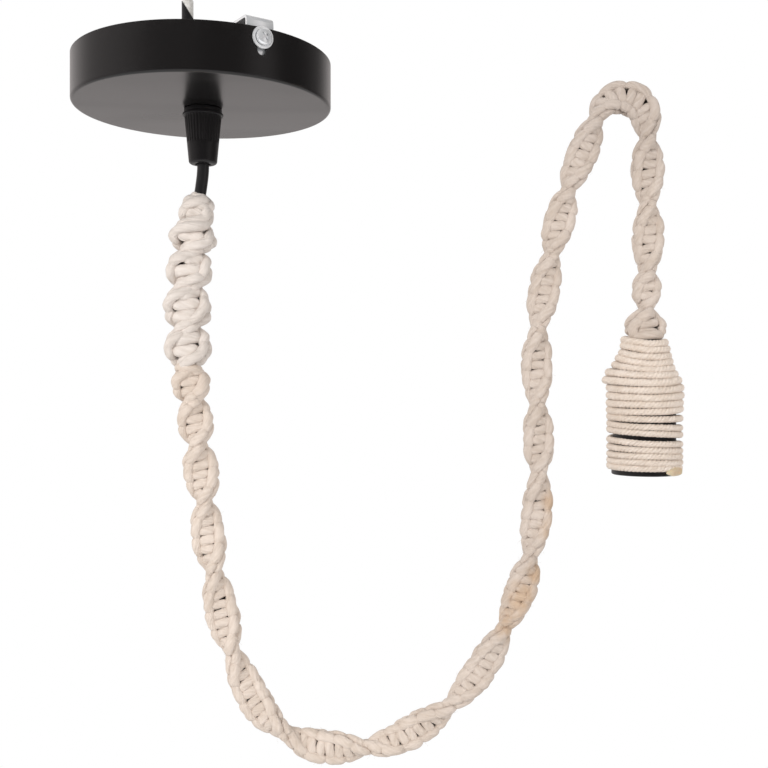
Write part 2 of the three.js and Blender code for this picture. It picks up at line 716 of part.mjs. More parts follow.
function holderInsert(group) {
  const radius = shellBore - INSERT_GAP;
  const body = turned([
    [0, insertTop],
    [radius, insertTop],
    [radius, insertEnd + 1],
    [radius - 1, insertEnd],
    [0, insertEnd],
  ], 32);
  const size = TERMINAL_SIZE + 2 * SEAT;
  const depth = size + 2 * (TERMINAL_HEAD_HEIGHT + 2 * SEAT);
  const pockets = [-1, 1].map((side) =>
    new THREE.BoxGeometry(size, depth, size).translate(side * TERMINAL_AT, 0, insertTop));
  add(group, "holder_insert", cut(body, ...pockets), "ceramic");
  [["live", 1], ["neutral", -1]].forEach(([name, side]) => {
    const block = new THREE.BoxGeometry(TERMINAL_SIZE, TERMINAL_SIZE, TERMINAL_SIZE);
    block.translate(side * TERMINAL_AT, 0, insertTop);
    const bore = TERMINAL_SCREW_RADIUS + THREAD_GAP;
    const hole = new THREE.CylinderGeometry(bore, bore, TERMINAL_SIZE + 4, 12);
    hole.translate(side * TERMINAL_AT, 0, insertTop + TERMINAL_SCREW_UP);
    add(group, `terminal_${name}`, cut(block, hole), "brass");
    const screw = panScrew(
      TERMINAL_SCREW_RADIUS, TERMINAL_SIZE - 1, TERMINAL_HEAD_RADIUS, TERMINAL_HEAD_HEIGHT);
    screw.rotateX(Math.PI / 2);
    const mesh = add(group, `terminal_screw_${name}`, screw, "zinc");
    mesh.position.set(side * TERMINAL_AT, -TERMINAL_SIZE / 2 - SEAT, insertTop + TERMINAL_SCREW_UP);
  });
}

// Screw shell: a sheet cup whose wall is rolled into the lamp's thread
function screwShell(group) {
  const top = insertEnd - SEAT;
  const crests = Math.floor((SOCKET_LENGTH - 4) / THREAD_PITCH);
  const wall = (offset) => {
    const points = [];
    for (let i = 0; i <= crests * 2; i++) {
      points.push([SOCKET_RADIUS - offset - THREAD_DEPTH * (i % 2), top - 2 - (i * THREAD_PITCH) / 2]);
    }
    return points;
  };
  const end = top - SOCKET_LENGTH;
  const outline = [
    [6.5, top],
    [SOCKET_RADIUS - 0.8, top],
    [SOCKET_RADIUS, top - 0.8],
    ...wall(0),
    [SOCKET_RADIUS, end],
    [SOCKET_RADIUS - SOCKET_SHEET, end],
    ...wall(SOCKET_SHEET).reverse(),
    [SOCKET_RADIUS - SOCKET_SHEET, top - SOCKET_SHEET],
    [6.5, top - SOCKET_SHEET],
  ];
  add(group, "screw_shell", turned(outline, 20), "brass");
}

// Centre contact: a bent brass tongue under the insert
function centreContact(group) {
  const top = insertEnd - SEAT;
  const low = top - CONTACT_DROP;
  const upper = [[-5.2, top], [-1.6, top], [1.6, low + 0.9], [3.2, low + 0.5], [4.6, low + 1.4]];
  const lower = upper.map(([x, z]) => [x, z - CONTACT_SHEET]).reverse();
  const shape = new THREE.Shape([...upper, ...lower].map(([x, z]) => new THREE.Vector2(x, z)));
  const tongue = new THREE.ExtrudeGeometry(shape, { depth: CONTACT_WIDTH, bevelEnabled: false });
  tongue.translate(0, 0, -CONTACT_WIDTH / 2).rotateX(Math.PI / 2);
  add(group, "centre_contact", tongue, "brass");
}

function holderConductors(group) {
  const seat = insertTop + TERMINAL_SIZE / 2 + SEAT;
  [["brown", 1], ["blue", -1]].forEach(([look, side]) => {
    const path = new THREE.CatmullRomCurve3([
      new THREE.Vector3(side * 1.5, 0, cordEnd - SEAT),
      new THREE.Vector3(side * 2, 0, cordEnd - 4),
      new THREE.Vector3(side * (TERMINAL_AT - 1), 0, cordEnd - 10),
      new THREE.Vector3(side * TERMINAL_AT, 0, seat),
    ]);
    add(group, `holder_conductor_${look}`, tube(path, CONDUCTOR_RADIUS, 8, 8), look);
  });
}

// Rope winding: one helix that climbs down the cap's slope and the shell
class WindingPath extends THREE.Curve {
  constructor(profile, pitch) {
    super();
    this.places = [0];
    profile.forEach(([r, z], i) => {
      if (i === 0) return;
      const [lastR, lastZ] = profile[i - 1];
      this.places.push(this.places.at(-1) + Math.hypot(r - lastR, z - lastZ));
    });
    this.rows = profile.map(([r, z], i) => [this.places[i], r, z]);
    this.turns = this.places.at(-1) / pitch;
  }

  getPoint(t) {
    const place = t * this.places.at(-1);
    const angle = 2 * Math.PI * this.turns * t;
    const radius = along(this.rows, place, 1);
    const z = along(this.rows, place, 2);
    return new THREE.Vector3(radius * Math.cos(angle), radius * Math.sin(angle), z);
  }
}

function ropeWinding(group) {
  const chord = (1 - Math.cos(Math.PI / ROPE_STEPS)) * (HOLDER_RADIUS + 2 * ROPE_RADIUS);
  const under = [...capOutside(), [HOLDER_RADIUS, rimTop + ROPE_RADIUS + SEAT]]
    .map(([r, z]) => new THREE.Vector2(r, z));
  const normals = under.slice(1).map((end, i) => {
    const way = end.clone().sub(under[i]).normalize();
    return new THREE.Vector2(-way.y, way.x);
  });
  const profile = under.map((point, i) => {
    const before = normals[Math.max(i - 1, 0)];
    const after = normals[Math.min(i, normals.length - 1)];
    const normal = before.clone().add(after).normalize();
    const lift = (ROPE_RADIUS + ROPE_SEAT + chord) / normal.dot(after);
    return [point.x + normal.x * lift, point.y + normal.y * lift];
  });
  const path = new WindingPath(profile, ROPE_PITCH);
  const steps = Math.round(path.turns * ROPE_STEPS);
  add(group, "rope_winding", tube(path, ROPE_RADIUS, ROPE_SIDES, steps), "rope");
}

function glueDrop(group) {
  const drop = new THREE.SphereGeometry(1, 14, 10).scale(...GLUE_HALF);
  const mesh = add(group, "glue_drop", drop, "glue");
  const radius = RIM_RADIUS + SEAT + GLUE_HALF[1];
  mesh.rotation.z = GLUE_TURN + Math.PI / 2;
  mesh.position.set(radius * Math.cos(GLUE_TURN), radius * Math.sin(GLUE_TURN), rimTop - GLUE_DROP);
}

function lampholder() {
  const group = new THREE.Group();
  group.position.x = HOLDER_X;
  root.add(group);
  holderCap(group);
  holderShell(group);
  holderInsert(group);
  screwShell(group);
  centreContact(group);
  holderConductors(group);
  ropeWinding(group);
  glueDrop(group);
}

ceilingCup();
const bracketGroup = new THREE.Group();
bracketGroup.rotation.z = BRACKET_TURN;
root.add(bracketGroup);
ceilingBracket(bracketGroup);
const earthScrew = panScrew(SCREW_RADIUS, BRACKET_SHEET + 3, SCREW_HEAD_RADIUS - 0.6, 2);
earthScrew.rotateX(Math.PI);
add(bracketGroup, "earth_screw", earthScrew, "brass")
  .position.set(0, earthScrewAt, -BRACKET_SHEET - SEAT);
sideScrews();
gripCollar();
gripCone();
gripInnards();
cableTail();
cord();
lampholder();

export default root;
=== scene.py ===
"""Pendant cord set: ceiling cup, cord grip, knotted cotton cord and rope-wrapped lampholder.

Sizes are in millimetres until a mesh is made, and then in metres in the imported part's frame:
+Z up, and the origin in the middle of the bracket's top face.
"""
import math

import bmesh
import bpy
import numpy as np
from mathutils import Matrix, Vector


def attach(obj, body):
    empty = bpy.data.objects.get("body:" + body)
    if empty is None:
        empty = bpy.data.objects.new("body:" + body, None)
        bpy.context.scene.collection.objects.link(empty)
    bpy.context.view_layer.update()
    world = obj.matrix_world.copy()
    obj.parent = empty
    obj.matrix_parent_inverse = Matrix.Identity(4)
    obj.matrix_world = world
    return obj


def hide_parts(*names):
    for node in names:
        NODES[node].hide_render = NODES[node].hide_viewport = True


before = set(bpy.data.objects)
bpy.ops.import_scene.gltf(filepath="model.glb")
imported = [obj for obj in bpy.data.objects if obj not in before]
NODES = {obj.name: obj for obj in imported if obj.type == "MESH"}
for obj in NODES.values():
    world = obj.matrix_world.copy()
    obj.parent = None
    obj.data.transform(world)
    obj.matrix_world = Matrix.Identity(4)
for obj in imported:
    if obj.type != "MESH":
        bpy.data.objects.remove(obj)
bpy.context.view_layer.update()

MM = 0.001

# Camera, level, in front of the cord's plane
CAMERA_PLACE = (106.4, -612.0, -195.0)
CAMERA_LENS = 48.8

# Ceiling cup
CUP_RADIUS = 75.0
CUP_WALL = 1.0
CUP_EDGE = 1.8
RIM_Z = -6.5
FACE_Z = -33.5
FLOOR_Z = -32.5
GRIP_HOLE = 5.3
SLOT_WIDTH = 5.2
SLOT_TOP = -12.2
SLOT_END = -18.7

# Ceiling bracket and its screws
BRACKET_TURN = 34.0  # degrees
BRACKET_WIDTH = 16.0
BRACKET_SHEET = 1.6
BRACKET_BEND = 3.0
BRACKET_END = 73.0
BRACKET_TAB = 22.0
FIXING_AT = 32.0
FIXING_WIDTH = 5.0
FIXING_LENGTH = 18.0
EARTH_SCREW_AT = 52.0
SCREW_Z = -12.2
SCREW_RADIUS = 2.0
SCREW_PITCH = 0.7
HEAD_RADIUS = 4.1
HEAD_HEIGHT = 2.6
WASHER_RADIUS = 6.0
WASHER_SHEET = 0.9
WASHER_DISH = 1.5
SEAT = 0.3

# Cord grip
COLLAR_RADIUS = 11.0
COLLAR_HEIGHT = 2.2
STUB_RADIUS = 4.9
STUB_TOP = -26.5
SPIGOT_RADIUS = 6.6
SPIGOT_LENGTH = 13.0
CONE_LIP_RADIUS = 11.8
CONE_LIP = 1.5
CONE_TOP_RADIUS = 10.8
CONE_END_RADIUS = 8.3
CONE_END_ROUND = 2.0
CONE_MOUTH_RADIUS = 4.6
GRIP_END = -66.0
RIB_COUNT = 32
RIB_DEPTH = 0.35
RIB_SHARE = 0.62

# Route of the free cord in its plane, as x and z
CORD_POINTS = [
    (0, -60), (0, -70), (-1.6, -83), (-6.4, -112), (-8.9, -145), (-8.3, -182), (-4.8, -214),
    (-0.6, -250), (4.6, -295), (16, -348), (25.5, -371.5), (39, -392), (58, -405),
    (81.5, -409), (106, -406.5), (128, -396.2), (148, -381), (163.5, -362), (176, -340.5),
    (186, -318), (193, -293), (196.8, -264), (197.2, -231), (196.3, -196), (196.9, -165),
    (201, -138), (208, -105), (216.5, -76), (225.9, -52.5), (232.7, -35.5), (236.6, -30),
    (242.4, -26.9), (249, -26.7), (255.2, -29.5), (259.3, -34.6), (260.8, -41), (261.4, -66),
    (261.6, -112), (260, -160), (259.5, -182),
]
CABLE_RADIUS = 3.5

# Cable's tail above the cup
TAIL_POINTS = [
    (0, 0, -59.7), (0, 0, -40), (0, 0, -28), (-1.1, -1.9, -21.5), (-3.35, -5.9, -14.6),
    (-5.7, -10.1, -7.5), (-6.7, -11.8, -1), (-6.7, -11.8, 8), (-6.7, -11.8, 26),
]
TAIL_CUT_Z = 20.5
TAIL_CUT_TILT = math.radians(57)
CORE_RADIUS = 3.2
CORE_START = 8.0
CORE_END = 26.0

# Knotted sleeve, in places along it from where it starts on the cord
SLEEVE_START = 25.0
WHITE_LENGTH = 101.0
SLEEVE_END = 967.5
WAISTS = [
    17.5, 32.9, 53.8, 77.9, 100.4, 120.5, 146.4, 180.7, 222, 271, 330, 379, 434.5, 491, 535, 584,
    624, 669, 713, 752, 796.5, 849.5, 887.5, 929, 950, 980,
]
# Half-width and half-thickness of the sleeve along it
SLEEVE_FORM = np.array([
    (0, 6, 5.6), (5, 8.6, 7), (11, 9.3, 7.6), (16, 9.0, 7.2), (20, 11.6, 8.2), (25.5, 13.3, 8.6),
    (29, 11.4, 8.2), (31, 7.6, 6.6), (35, 7.6, 6.6), (38, 11.6, 8.3), (43.5, 13.0, 8.6),
    (48, 11.8, 8.3), (51.5, 7.8, 6.7), (56, 7.8, 6.7), (59.5, 12.2, 8.4), (65, 13.6, 8.6),
    (71.5, 12.0, 8.4), (75.5, 7.4, 6.5), (80, 7.4, 6.5), (83.5, 11.8, 8.2), (89, 13.2, 8.4),
    (95, 11.8, 8.0), (98.5, 8.0, 6.6), (102.5, 8.4, 6.2), (107, 11.2, 6.4), (134, 10.6, 5.2),
    (185, 9.9, 5), (540, 9, 4.9), (790, 9.1, 4.9), (826, 9.9, 5.2), (940, 8.7, 4.9),
    (950, 8, 4.6), (955, 10.5, 6), (961, 12.4, 7.2), (968, 10.4, 7.5),
])
# The turn gathers at the waists, and the natural part is drawn in there too
WHITE_GATHER = 0.42
NATURAL_GATHER = 0.36
WAIST_NARROWER = 0.46
WAIST_THINNER = 0.14
WAIST_SHARPNESS = 2.4
# Sections: name, CAD node, look, start, end, half-knots, a strand's half-width and half-thickness
# at the sides and half-thickness in the bars, steps from row to row, and stray fibres
SECTIONS = [
    ("knots_white", "macrame_white", "white_cotton", 0.8, WHITE_LENGTH, 15, (3.0, 2.9, 2.3), 6,
     60),
    ("knots_natural", "macrame_natural", "natural_cotton", WHITE_LENGTH, SLEEVE_END, 158,
     (3.0, 2.3, 1.45), 3, 240),
]
# Strands wrapped round the sleeve: place, radius in the cord's plane and across it, half-width,
# lean, first angle in degrees and turns
WRAPS = {
    "knots_white_a": (4.2, 5.6, 5.4, 2.9, 1.1, 200, 1.25),
    "knots_natural_a": (1.5 + WHITE_LENGTH, 6.4, 6.2, 2.5, 1.6, 150, 1.3),
    "knots_natural_b": (SLEEVE_END - 0.4, 8.4, 8.0, 2.8, 1.2, 40, 1.4),
}
STRAND_SIDES = 12

# Lampholder
HOLDER_X = 259.5
HOLDER_TOP = -170.0
HOLDER_RADIUS = 18.0
CAP_TOP_RADIUS = 9.6
CAP_SLOPE = 24.0
CAP_FORM = [(0, 0), (0.32, 0.2), (0.65, 0.45), (0.86, 0.72), (1, 1)]
CAP_END = -199.0
CAP_WALL = 2.0
CAP_BORE = 5.3
MOUTH_Z = -248.0
RIM_TOP = -245.2
RIM_RADIUS = 19.0
SHELL_WALL = 2.4
NECK_WALL = 1.6
BUSH_BORE = 3.8
BUSH_FLANGE_RADIUS = 7.6
BUSH_FLANGE = 1.2
SOCKET_RADIUS = 13.9
SOCKET_SHEET = 0.5
SOCKET_TOP = -213.9
SOCKET_LENGTH = 27.0
SOCKET_HOLE = 6.5
THREAD_PITCH = 3.6
THREAD_DEPTH = 0.7

# Rope: a height for its left, front and right and an outer radius for its left and right,
# for each turn from the top down
ROPE_TURNS = [
    (-169.3, -171.8, -170.6, 11.8, 12.2), (-172.4, -175.5, -174.4, 12.9, 15.3),
    (-176.8, -179.6, -178.3, 14.2, 16.0), (-180.1, -183.6, -181.6, 17.4, 14.9),
    (-184.0, -187.1, -185.5, 19.5, 16.7), (-188.2, -190.5, -189.1, 23.3, 19.1),
    (-192.6, -194.4, -192.8, 24.8, 21.2), (-197.2, -198.7, -197.0, 22.5, 22.9),
    (-201.9, -202.9, -201.6, 22.3, 22.9), (-206.3, -206.7, -206.0, 22.1, 22.6),
    (-210.4, -210.8, -209.2, 22.0, 22.2), (-214.4, -215.3, -215.2, 21.8, 22.2),
    (-218.3, -219.8, -220.6, 21.6, 21.9), (-221.7, -223.4, -224.7, 21.4, 21.7),
    (-227.6, -229.3, -230.0, 21.9, 21.4), (-231.8, -232.9, -233.9, 22.1, 21.4),
    (-236.1, -236.4, -237.5, 22.1, 21.4), (-239.8, -240.0, -240.8, 22.4, 21.6),
    (-243.0, -243.3, -243.3, 22.4, 21.9),
]
ROPE_LAY = 7.0
PLY_OFFSET = 1.0
PLY_RADIUS = 1.46
PLY_RADIUS_LOW = 1.12
# Where the rope's end is tucked in: height and radius
ROPE_START = (-168.4, 9.4)

# Glue over the rope's end: its angle in degrees, half-sizes and distance from the rim
GLUE_TURN = -50.0
GLUE_SIZE = (7.4, 1.7, 2.9)
GLUE_OUT = 1.4

# Stage, in metres: the floor, what the lights aim at, and each light's place, size and power
FLOOR_MIDDLE = (0.13, 0.0, -1.5)
FLOOR_RADIUS = 2.6
LIGHTS_AIM = (0.13, 0, -0.2)
LIGHTS = [
    ("key", (-0.95, -1.1, 0.1), 0.9, 16), ("fill", (1.3, -0.9, -0.1), 1.0, 8),
    ("top", (0.0, 0.1, 1.3), 1.0, 3),
]


# ---- Materials


def feed(socket, value):
    """Links an input to a socket, or sets the input's own value."""
    if isinstance(value, bpy.types.NodeSocket):
        socket.id_data.links.new(value, socket)
    else:
        socket.default_value = value


def wire(tree, kind, inputs=None, **settings):
    """A new node with its settings, and its inputs given as values or as sockets to link."""
    made = tree.nodes.new(kind)
    for key, value in settings.items():
        setattr(made, key, value)
    for key, value in (inputs or {}).items():
        feed(made.inputs[key], value)
    return made


def maths(operation, first, second):
    tree = (first if isinstance(first, bpy.types.NodeSocket) else second).id_data
    return wire(tree, "ShaderNodeMath", {0: first, 1: second}, operation=operation).outputs[0]


def times(first, second):
    return maths("MULTIPLY", first, second)


def plus(first, second):
    return maths("ADD", first, second)


def spread(value, low, high, to_low=0.0, to_high=1.0):
    """The value's range from low to high, taken to another range with soft ends."""
    return wire(value.id_data, "ShaderNodeMapRange", {
        "Value": value, "From Min": low, "From Max": high, "To Min": to_low, "To Max": to_high,
    }, interpolation_type="SMOOTHSTEP").outputs[0]


def noise(place, scale, detail, roughness=0.5):
    return wire(place.id_data, "ShaderNodeTexNoise", {
        "Vector": place, "Scale": scale, "Detail": detail, "Roughness": roughness,
    }).outputs[0]


def blend(share, first, second, kind="MIX"):
    """A mix of two colours."""
    made = wire(share.id_data, "ShaderNodeMix", {0: share}, data_type="RGBA", blend_type=kind)
    for index, colour in ((6, first), (7, second)):
        feed(made.inputs[index], (*colour, 1) if isinstance(colour, tuple) else colour)
    return made.outputs[2]


def distance(place, point):
    return wire(place.id_data, "ShaderNodeVectorMath", {0: place, 1: point},
                operation="DISTANCE").outputs["Value"]


def split(vector):
    return wire(vector.id_data, "ShaderNodeSeparateXYZ", {0: vector}).outputs


def effect(name, inputs, outputs):
    """An empty node group with its sockets."""
    tree = bpy.data.node_groups.new(name, "ShaderNodeTree")
    for way, sockets in (("INPUT", inputs), ("OUTPUT", outputs)):
        for label, kind in sockets.items():
            tree.interface.new_socket(label, in_out=way, socket_type=kind)
    return tree, tree.nodes.new("NodeGroupInput").outputs, tree.nodes.new("NodeGroupOutput").inputs


VECTOR, FLOAT = "NodeSocketVector", "NodeSocketFloat"


def yarn_effect():
    """Fibre lines and yarn bundles along a soft strand, from its own map in metres."""
    tree, given, made = effect("yarn", {"Strand": VECTOR, "Twist": FLOAT},
                               {"Height": FLOAT, "Tone": FLOAT})
    along, across = split(given["Strand"])[:2]
    twisted = plus(across, times(along, given["Twist"]))
    fine, broad = (wire(tree, "ShaderNodeCombineXYZ", {
        0: times(along, lengthwise), 1: times(twisted, crosswise)}).outputs[0]
        for lengthwise, crosswise in ((160.0, 3000.0), (45.0, 750.0)))
    height = plus(times(noise(fine, 1.0, 3.0, 0.65), 0.45),
                  times(noise(broad, 1.0, 1.0, 0.4), 0.75))
    feed(made["Height"], height)
    feed(made["Tone"], spread(height, 0.42, 0.78))
    return tree


def patch_effect():
    """Soft uneven patches of tone."""
    tree, given, made = effect("patches", {"Place": VECTOR, "Size": FLOAT}, {"Mask": FLOAT})
    scale = maths("DIVIDE", 1.0, given["Size"])
    feed(made["Mask"], spread(noise(given["Place"], scale, 3.0, 0.55), 0.36, 0.64))
    return tree


def grain_effect():
    """Fine grain of paint or moulded plastic, and the faint marks of handling."""
    tree, given, made = effect("grain", {"Place": VECTOR, "Scale": FLOAT},
                               {"Height": FLOAT, "Marks": FLOAT})
    smear = wire(tree, "ShaderNodeMapping", {
        "Vector": given["Place"], "Rotation": (0.3, 0.5, 0.6), "Scale": (1.0, 3.2, 1.0)}).outputs[0]
    feed(made["Height"], noise(given["Place"], given["Scale"], 2.0))
    feed(made["Marks"], spread(noise(smear, 14.0, 0.0, 0.4), 0.35, 0.75))
    return tree


def dust_effect():
    """Dust that settles on faces that look up."""
    tree, given, made = effect("dust", {"Place": VECTOR, "Normal": VECTOR}, {"Mask": FLOAT})
    flecks = spread(noise(given["Place"], 420.0, 4.0, 0.7), 0.45, 0.7, 0.25, 1.0)
    feed(made["Mask"], times(spread(split(given["Normal"])[2], 0.35, 1.0), flecks))
    return tree


def wear_effect():
    """Worn outer edges, broken up by noise."""
    tree, given, made = effect("wear", {"Place": VECTOR, "Edge": FLOAT}, {"Mask": FLOAT})
    broken = spread(noise(given["Place"], 160.0, 4.0, 0.7), 0.42, 0.66)
    feed(made["Mask"], times(spread(given["Edge"], 0.53, 0.60), broken))
    return tree


def brushed_effect():
    """Lines and cloudy tone of plated or drawn metal."""
    tree, given, made = effect("brushed", {"Place": VECTOR}, {"Lines": FLOAT, "Cloud": FLOAT})
    drawn = wire(tree, "ShaderNodeMapping", {
        "Vector": given["Place"], "Scale": (60.0, 2600.0, 900.0)}).outputs[0]
    feed(made["Lines"], noise(drawn, 1.0, 2.0, 0.6))
    feed(made["Cloud"], spread(noise(given["Place"], 260.0, 3.0, 0.6), 0.35, 0.68))
    return tree


# Peach stains on the natural cord: x, z and reach in millimetres
STAINS = [(207, -264, 12), (205.5, -280, 12), (194, -306, 10), (187, -320, 15), (181, -335, 15)]


def stains_and_shade_effect():
    """Peach stains, and painted shade towards the right side and the top of the high bend."""
    tree, given, made = effect("stains", {"Place": VECTOR}, {"Mask": FLOAT, "PaintedShade": FLOAT})
    place = given["Place"]
    right, _, up = split(place)
    # Painted shade: a mask that darkens the cord towards its right side and the top of the high
    # bend.
    feed(made["PaintedShade"], plus(spread(right, 0.09, 0.19, 0.0, 0.52),
                            spread(up, -0.1, -0.035, 0.0, 0.48)))
    flat = wire(tree, "ShaderNodeVectorMath", {0: place, 1: (1.0, 0.0, 1.0)},
                operation="MULTIPLY").outputs[0]
    total = None
    for x, z, reach in STAINS:
        away = distance(flat, (x * MM, 0.0, z * MM))
        spot = spread(away, reach * 0.25 * MM, reach * MM, 1.0, 0.0)
        total = spot if total is None else maths("MAXIMUM", total, spot)
    feed(made["Mask"], times(total, spread(noise(place, 120.0, 3.0, 0.6), 0.35, 0.62, 0.35, 1.0)))
    return tree


EFFECTS = {tree.name: tree for tree in (
    yarn_effect(), patch_effect(), grain_effect(), dust_effect(), wear_effect(), brushed_effect(),
    stains_and_shade_effect())}


def use(name, inputs):
    """Outputs of a shared effect; its first input is a socket of the material."""
    tree = next(iter(inputs.values())).id_data
    return wire(tree, "ShaderNodeGroup", inputs, node_tree=EFFECTS[name]).outputs


def material(name):
    made = bpy.data.materials.new(name)
    made.use_nodes = True
    nodes = made.node_tree.nodes
    return made, nodes["Principled BSDF"], nodes.new("ShaderNodeTexCoord").outputs["Object"]


def put(shader, **inputs):
    """Sets or links inputs of the surface shader; underscores stand for spaces."""
    for key, value in inputs.items():
        feed(shader.inputs[key.replace("_", " ")], value)


def raised(height, strength, depth):
    return wire(height.id_data, "ShaderNodeBump", {
        "Height": height, "Strength": strength, "Distance": depth * MM}).outputs[0]


def cotton(name, light, dark, twist, stained_and_shaded=False):
    """Soft twisted yarn with patches of tone, and for the natural cord stains and painted shade."""
    made, shader, place = material(name)
    strand = wire(made.node_tree, "ShaderNodeUVMap", uv_map="strand").outputs[0]
    yarn = use("yarn", {"Strand": strand, "Twist": twist})
    patch = use("patches", {"Place": place, "Size": 0.016})["Mask"]
    speck = use("patches", {"Place": place, "Size": 0.0035})["Mask"]
    tone = plus(times(yarn["Tone"], 0.5), plus(times(patch, 0.3), times(speck, 0.2)))
    colour = blend(tone, dark, light)
    if stained_and_shaded:
        stains_and_shade = use("stains", {"Place": place})
        colour = blend(times(stains_and_shade["Mask"], 0.65), colour, (0.86, 0.66, 0.44), "MULTIPLY")
        # Painted shade: the cord is greyed by the shade mask towards its right side and the top of
        # the bend.
        colour = blend(stains_and_shade["PaintedShade"], colour, (0.79, 0.79, 0.8), "MULTIPLY")
    put(shader, Base_Color=colour, Roughness=0.92, Normal=raised(yarn["Height"], 0.9, 1.1),
        Sheen_Weight=0.12, Sheen_Roughness=0.55)
    return made


def painted(name, colour, rough, grain, grain_depth, worn, wear_colour):
    """Black paint or moulded plastic: grain, handling marks, worn edges and settled dust."""
    made, shader, place = material(name)
    facts = made.node_tree.nodes.new("ShaderNodeNewGeometry").outputs
    fine = use("grain", {"Place": place, "Scale": grain})
    wear = use("wear", {"Place": place, "Edge": facts["Pointiness"]})["Mask"]
    dust = use("dust", {"Place": place, "Normal": facts["Normal"]})["Mask"]
    shade = blend(times(wear, worn), colour, wear_colour)
    shade = blend(times(dust, 0.05), shade, (0.5, 0.48, 0.45))
    roughness = plus(plus(times(fine["Marks"], 0.035), times(dust, 0.2)), rough)
    put(shader, Base_Color=shade, Roughness=roughness,
        Normal=raised(fine["Height"], 0.25, grain_depth))
    return made


def metal(name, light, dark, rough, line_depth, solid):
    made, shader, place = material(name)
    lines = use("brushed", {"Place": place})
    put(shader, Base_Color=blend(lines["Cloud"], dark, light), Metallic=solid,
        Roughness=plus(times(lines["Cloud"], 0.1), rough),
        Normal=raised(lines["Lines"], 0.3, line_depth))
    return made


def smooth_stuff(name, light, dark, rough, size, soft=0.0):
    """Plain mouldings, glaze and glue: soft patches of tone with a faint uneven surface."""
    made, shader, place = material(name)
    fine = use("grain", {"Place": place, "Scale": 900.0})
    patch = use("patches", {"Place": place, "Size": size})["Mask"]
    put(shader, Base_Color=blend(patch, dark, light),
        Roughness=plus(times(fine["Marks"], 0.12), rough),
        Normal=raised(fine["Height"], 0.3, 0.05), Subsurface_Weight=soft, Subsurface_Scale=0.002)
    return made


LOOKS = {name: kind(name, *values) for kind, name, *values in (
    (painted, "black_metal", (0.0072, 0.0064, 0.0064), 0.24, 1500.0, 0.02, 0.25,
     (0.05, 0.048, 0.046)),
    (painted, "black_plastic", (0.0055, 0.0048, 0.0052), 0.42, 2600.0, 0.02, 0.3,
     (0.03, 0.03, 0.03)),
    (painted, "cable_black", (0.012, 0.0115, 0.012), 0.36, 1900.0, 0.03, 0.0, (0.02, 0.02, 0.02)),
    (painted, "rubber", (0.02, 0.02, 0.02), 0.7, 1400.0, 0.05, 0.0, (0.04, 0.04, 0.04)),
    (metal, "zinc", (0.96, 0.965, 0.97), (0.91, 0.92, 0.94), 0.07, 0.003, 0.58),
    (metal, "brass", (0.88, 0.68, 0.36), (0.80, 0.59, 0.29), 0.34, 0.002, 0.7),
    (cotton, "white_cotton", (0.77, 0.695, 0.64), (0.61, 0.535, 0.475), 0.35),
    (cotton, "natural_cotton", (0.745, 0.64, 0.56), (0.59, 0.485, 0.40), 0.35, True),
    (cotton, "rope", (0.86, 0.75, 0.66), (0.70, 0.58, 0.48), 1.1),
    (smooth_stuff, "pale_core", (0.64, 0.62, 0.59), (0.47, 0.45, 0.42), 0.5, 0.003),
    (smooth_stuff, "ceramic", (0.82, 0.80, 0.75), (0.72, 0.69, 0.63), 0.16, 0.006),
    (smooth_stuff, "glue", (0.61, 0.50, 0.345), (0.52, 0.41, 0.27), 0.3, 0.006, 0.3),
    (smooth_stuff, "brown", (0.13, 0.052, 0.02), (0.08, 0.03, 0.01), 0.35, 0.004),
    (smooth_stuff, "blue", (0.035, 0.12, 0.46), (0.02, 0.08, 0.33), 0.35, 0.004),
    (smooth_stuff, "green", (0.18, 0.36, 0.05), (0.11, 0.25, 0.03), 0.35, 0.004),
)}
# Looks of the CAD nodes that stay as they are
NODE_SLOTS = {
    "grip_collet": "rubber", "lock_washer": "zinc", "lock_nut": "brass",
    "tail_conductor_brown": "brown", "tail_conductor_blue": "blue", "tail_conductor_green": "green",
    "holder_insert": "ceramic", "centre_contact": "brass", "terminal_live": "brass",
    "terminal_neutral": "brass", "terminal_screw_live": "zinc", "terminal_screw_neutral": "zinc",
    "holder_conductor_brown": "brown", "holder_conductor_blue": "blue",
}


# ---- Mesh helpers


def new_object(name, data):
    made = bpy.data.objects.new(name, data)
    bpy.context.scene.collection.objects.link(made)
    return made


def finish_piece(bm, name, look, smooth_angle=None):
    mesh = bpy.data.meshes.new(name)
    bm.to_mesh(mesh)
    bm.free()
    mesh.materials.append(look)
    mesh.polygons.foreach_set("use_smooth", [True] * len(mesh.polygons))
    if smooth_angle is not None:
        mesh.set_sharp_from_angle(angle=math.radians(smooth_angle))
    return new_object(name, mesh)


def stands_for(piece, node):
    """Puts the piece in the place of a CAD node."""
    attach(piece, "root")
    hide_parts(node)
    return piece


def make(bm, name, look, node, smooth_angle=None):
    """A finished piece in a CAD node's place, its slot named after its look."""
    return stands_for(finish_piece(bm, name, LOOKS[look], smooth_angle), node)


def turned(outline, steps):
    """A closed outline of radius and z, turned about the upright axis."""
    bm = bmesh.new()
    verts = [bm.verts.new((r * MM, 0, z * MM)) for r, z in outline]
    edges = [bm.edges.new((a, b)) for a, b in zip(verts, verts[1:] + verts[:1])]
    bmesh.ops.spin(bm, geom=verts + edges, cent=(0, 0, 0), axis=(0, 0, 1), steps=steps,
                   angle=math.tau, use_merge=True)
    bmesh.ops.remove_doubles(bm, verts=bm.verts, dist=1e-6)
    bmesh.ops.recalc_face_normals(bm, faces=bm.faces)
    return bm


def arc(centre_r, centre_z, radius, start, end, steps):
    """Points on an arc of the outline, angles in degrees from +r towards +z."""
    angles = [math.radians(start + (end - start) * i / steps) for i in range(steps + 1)]
    return [(centre_r + radius * math.cos(a), centre_z + radius * math.sin(a)) for a in angles]


def place_at(bm, matrix):
    bmesh.ops.transform(bm, matrix=matrix, verts=bm.verts)


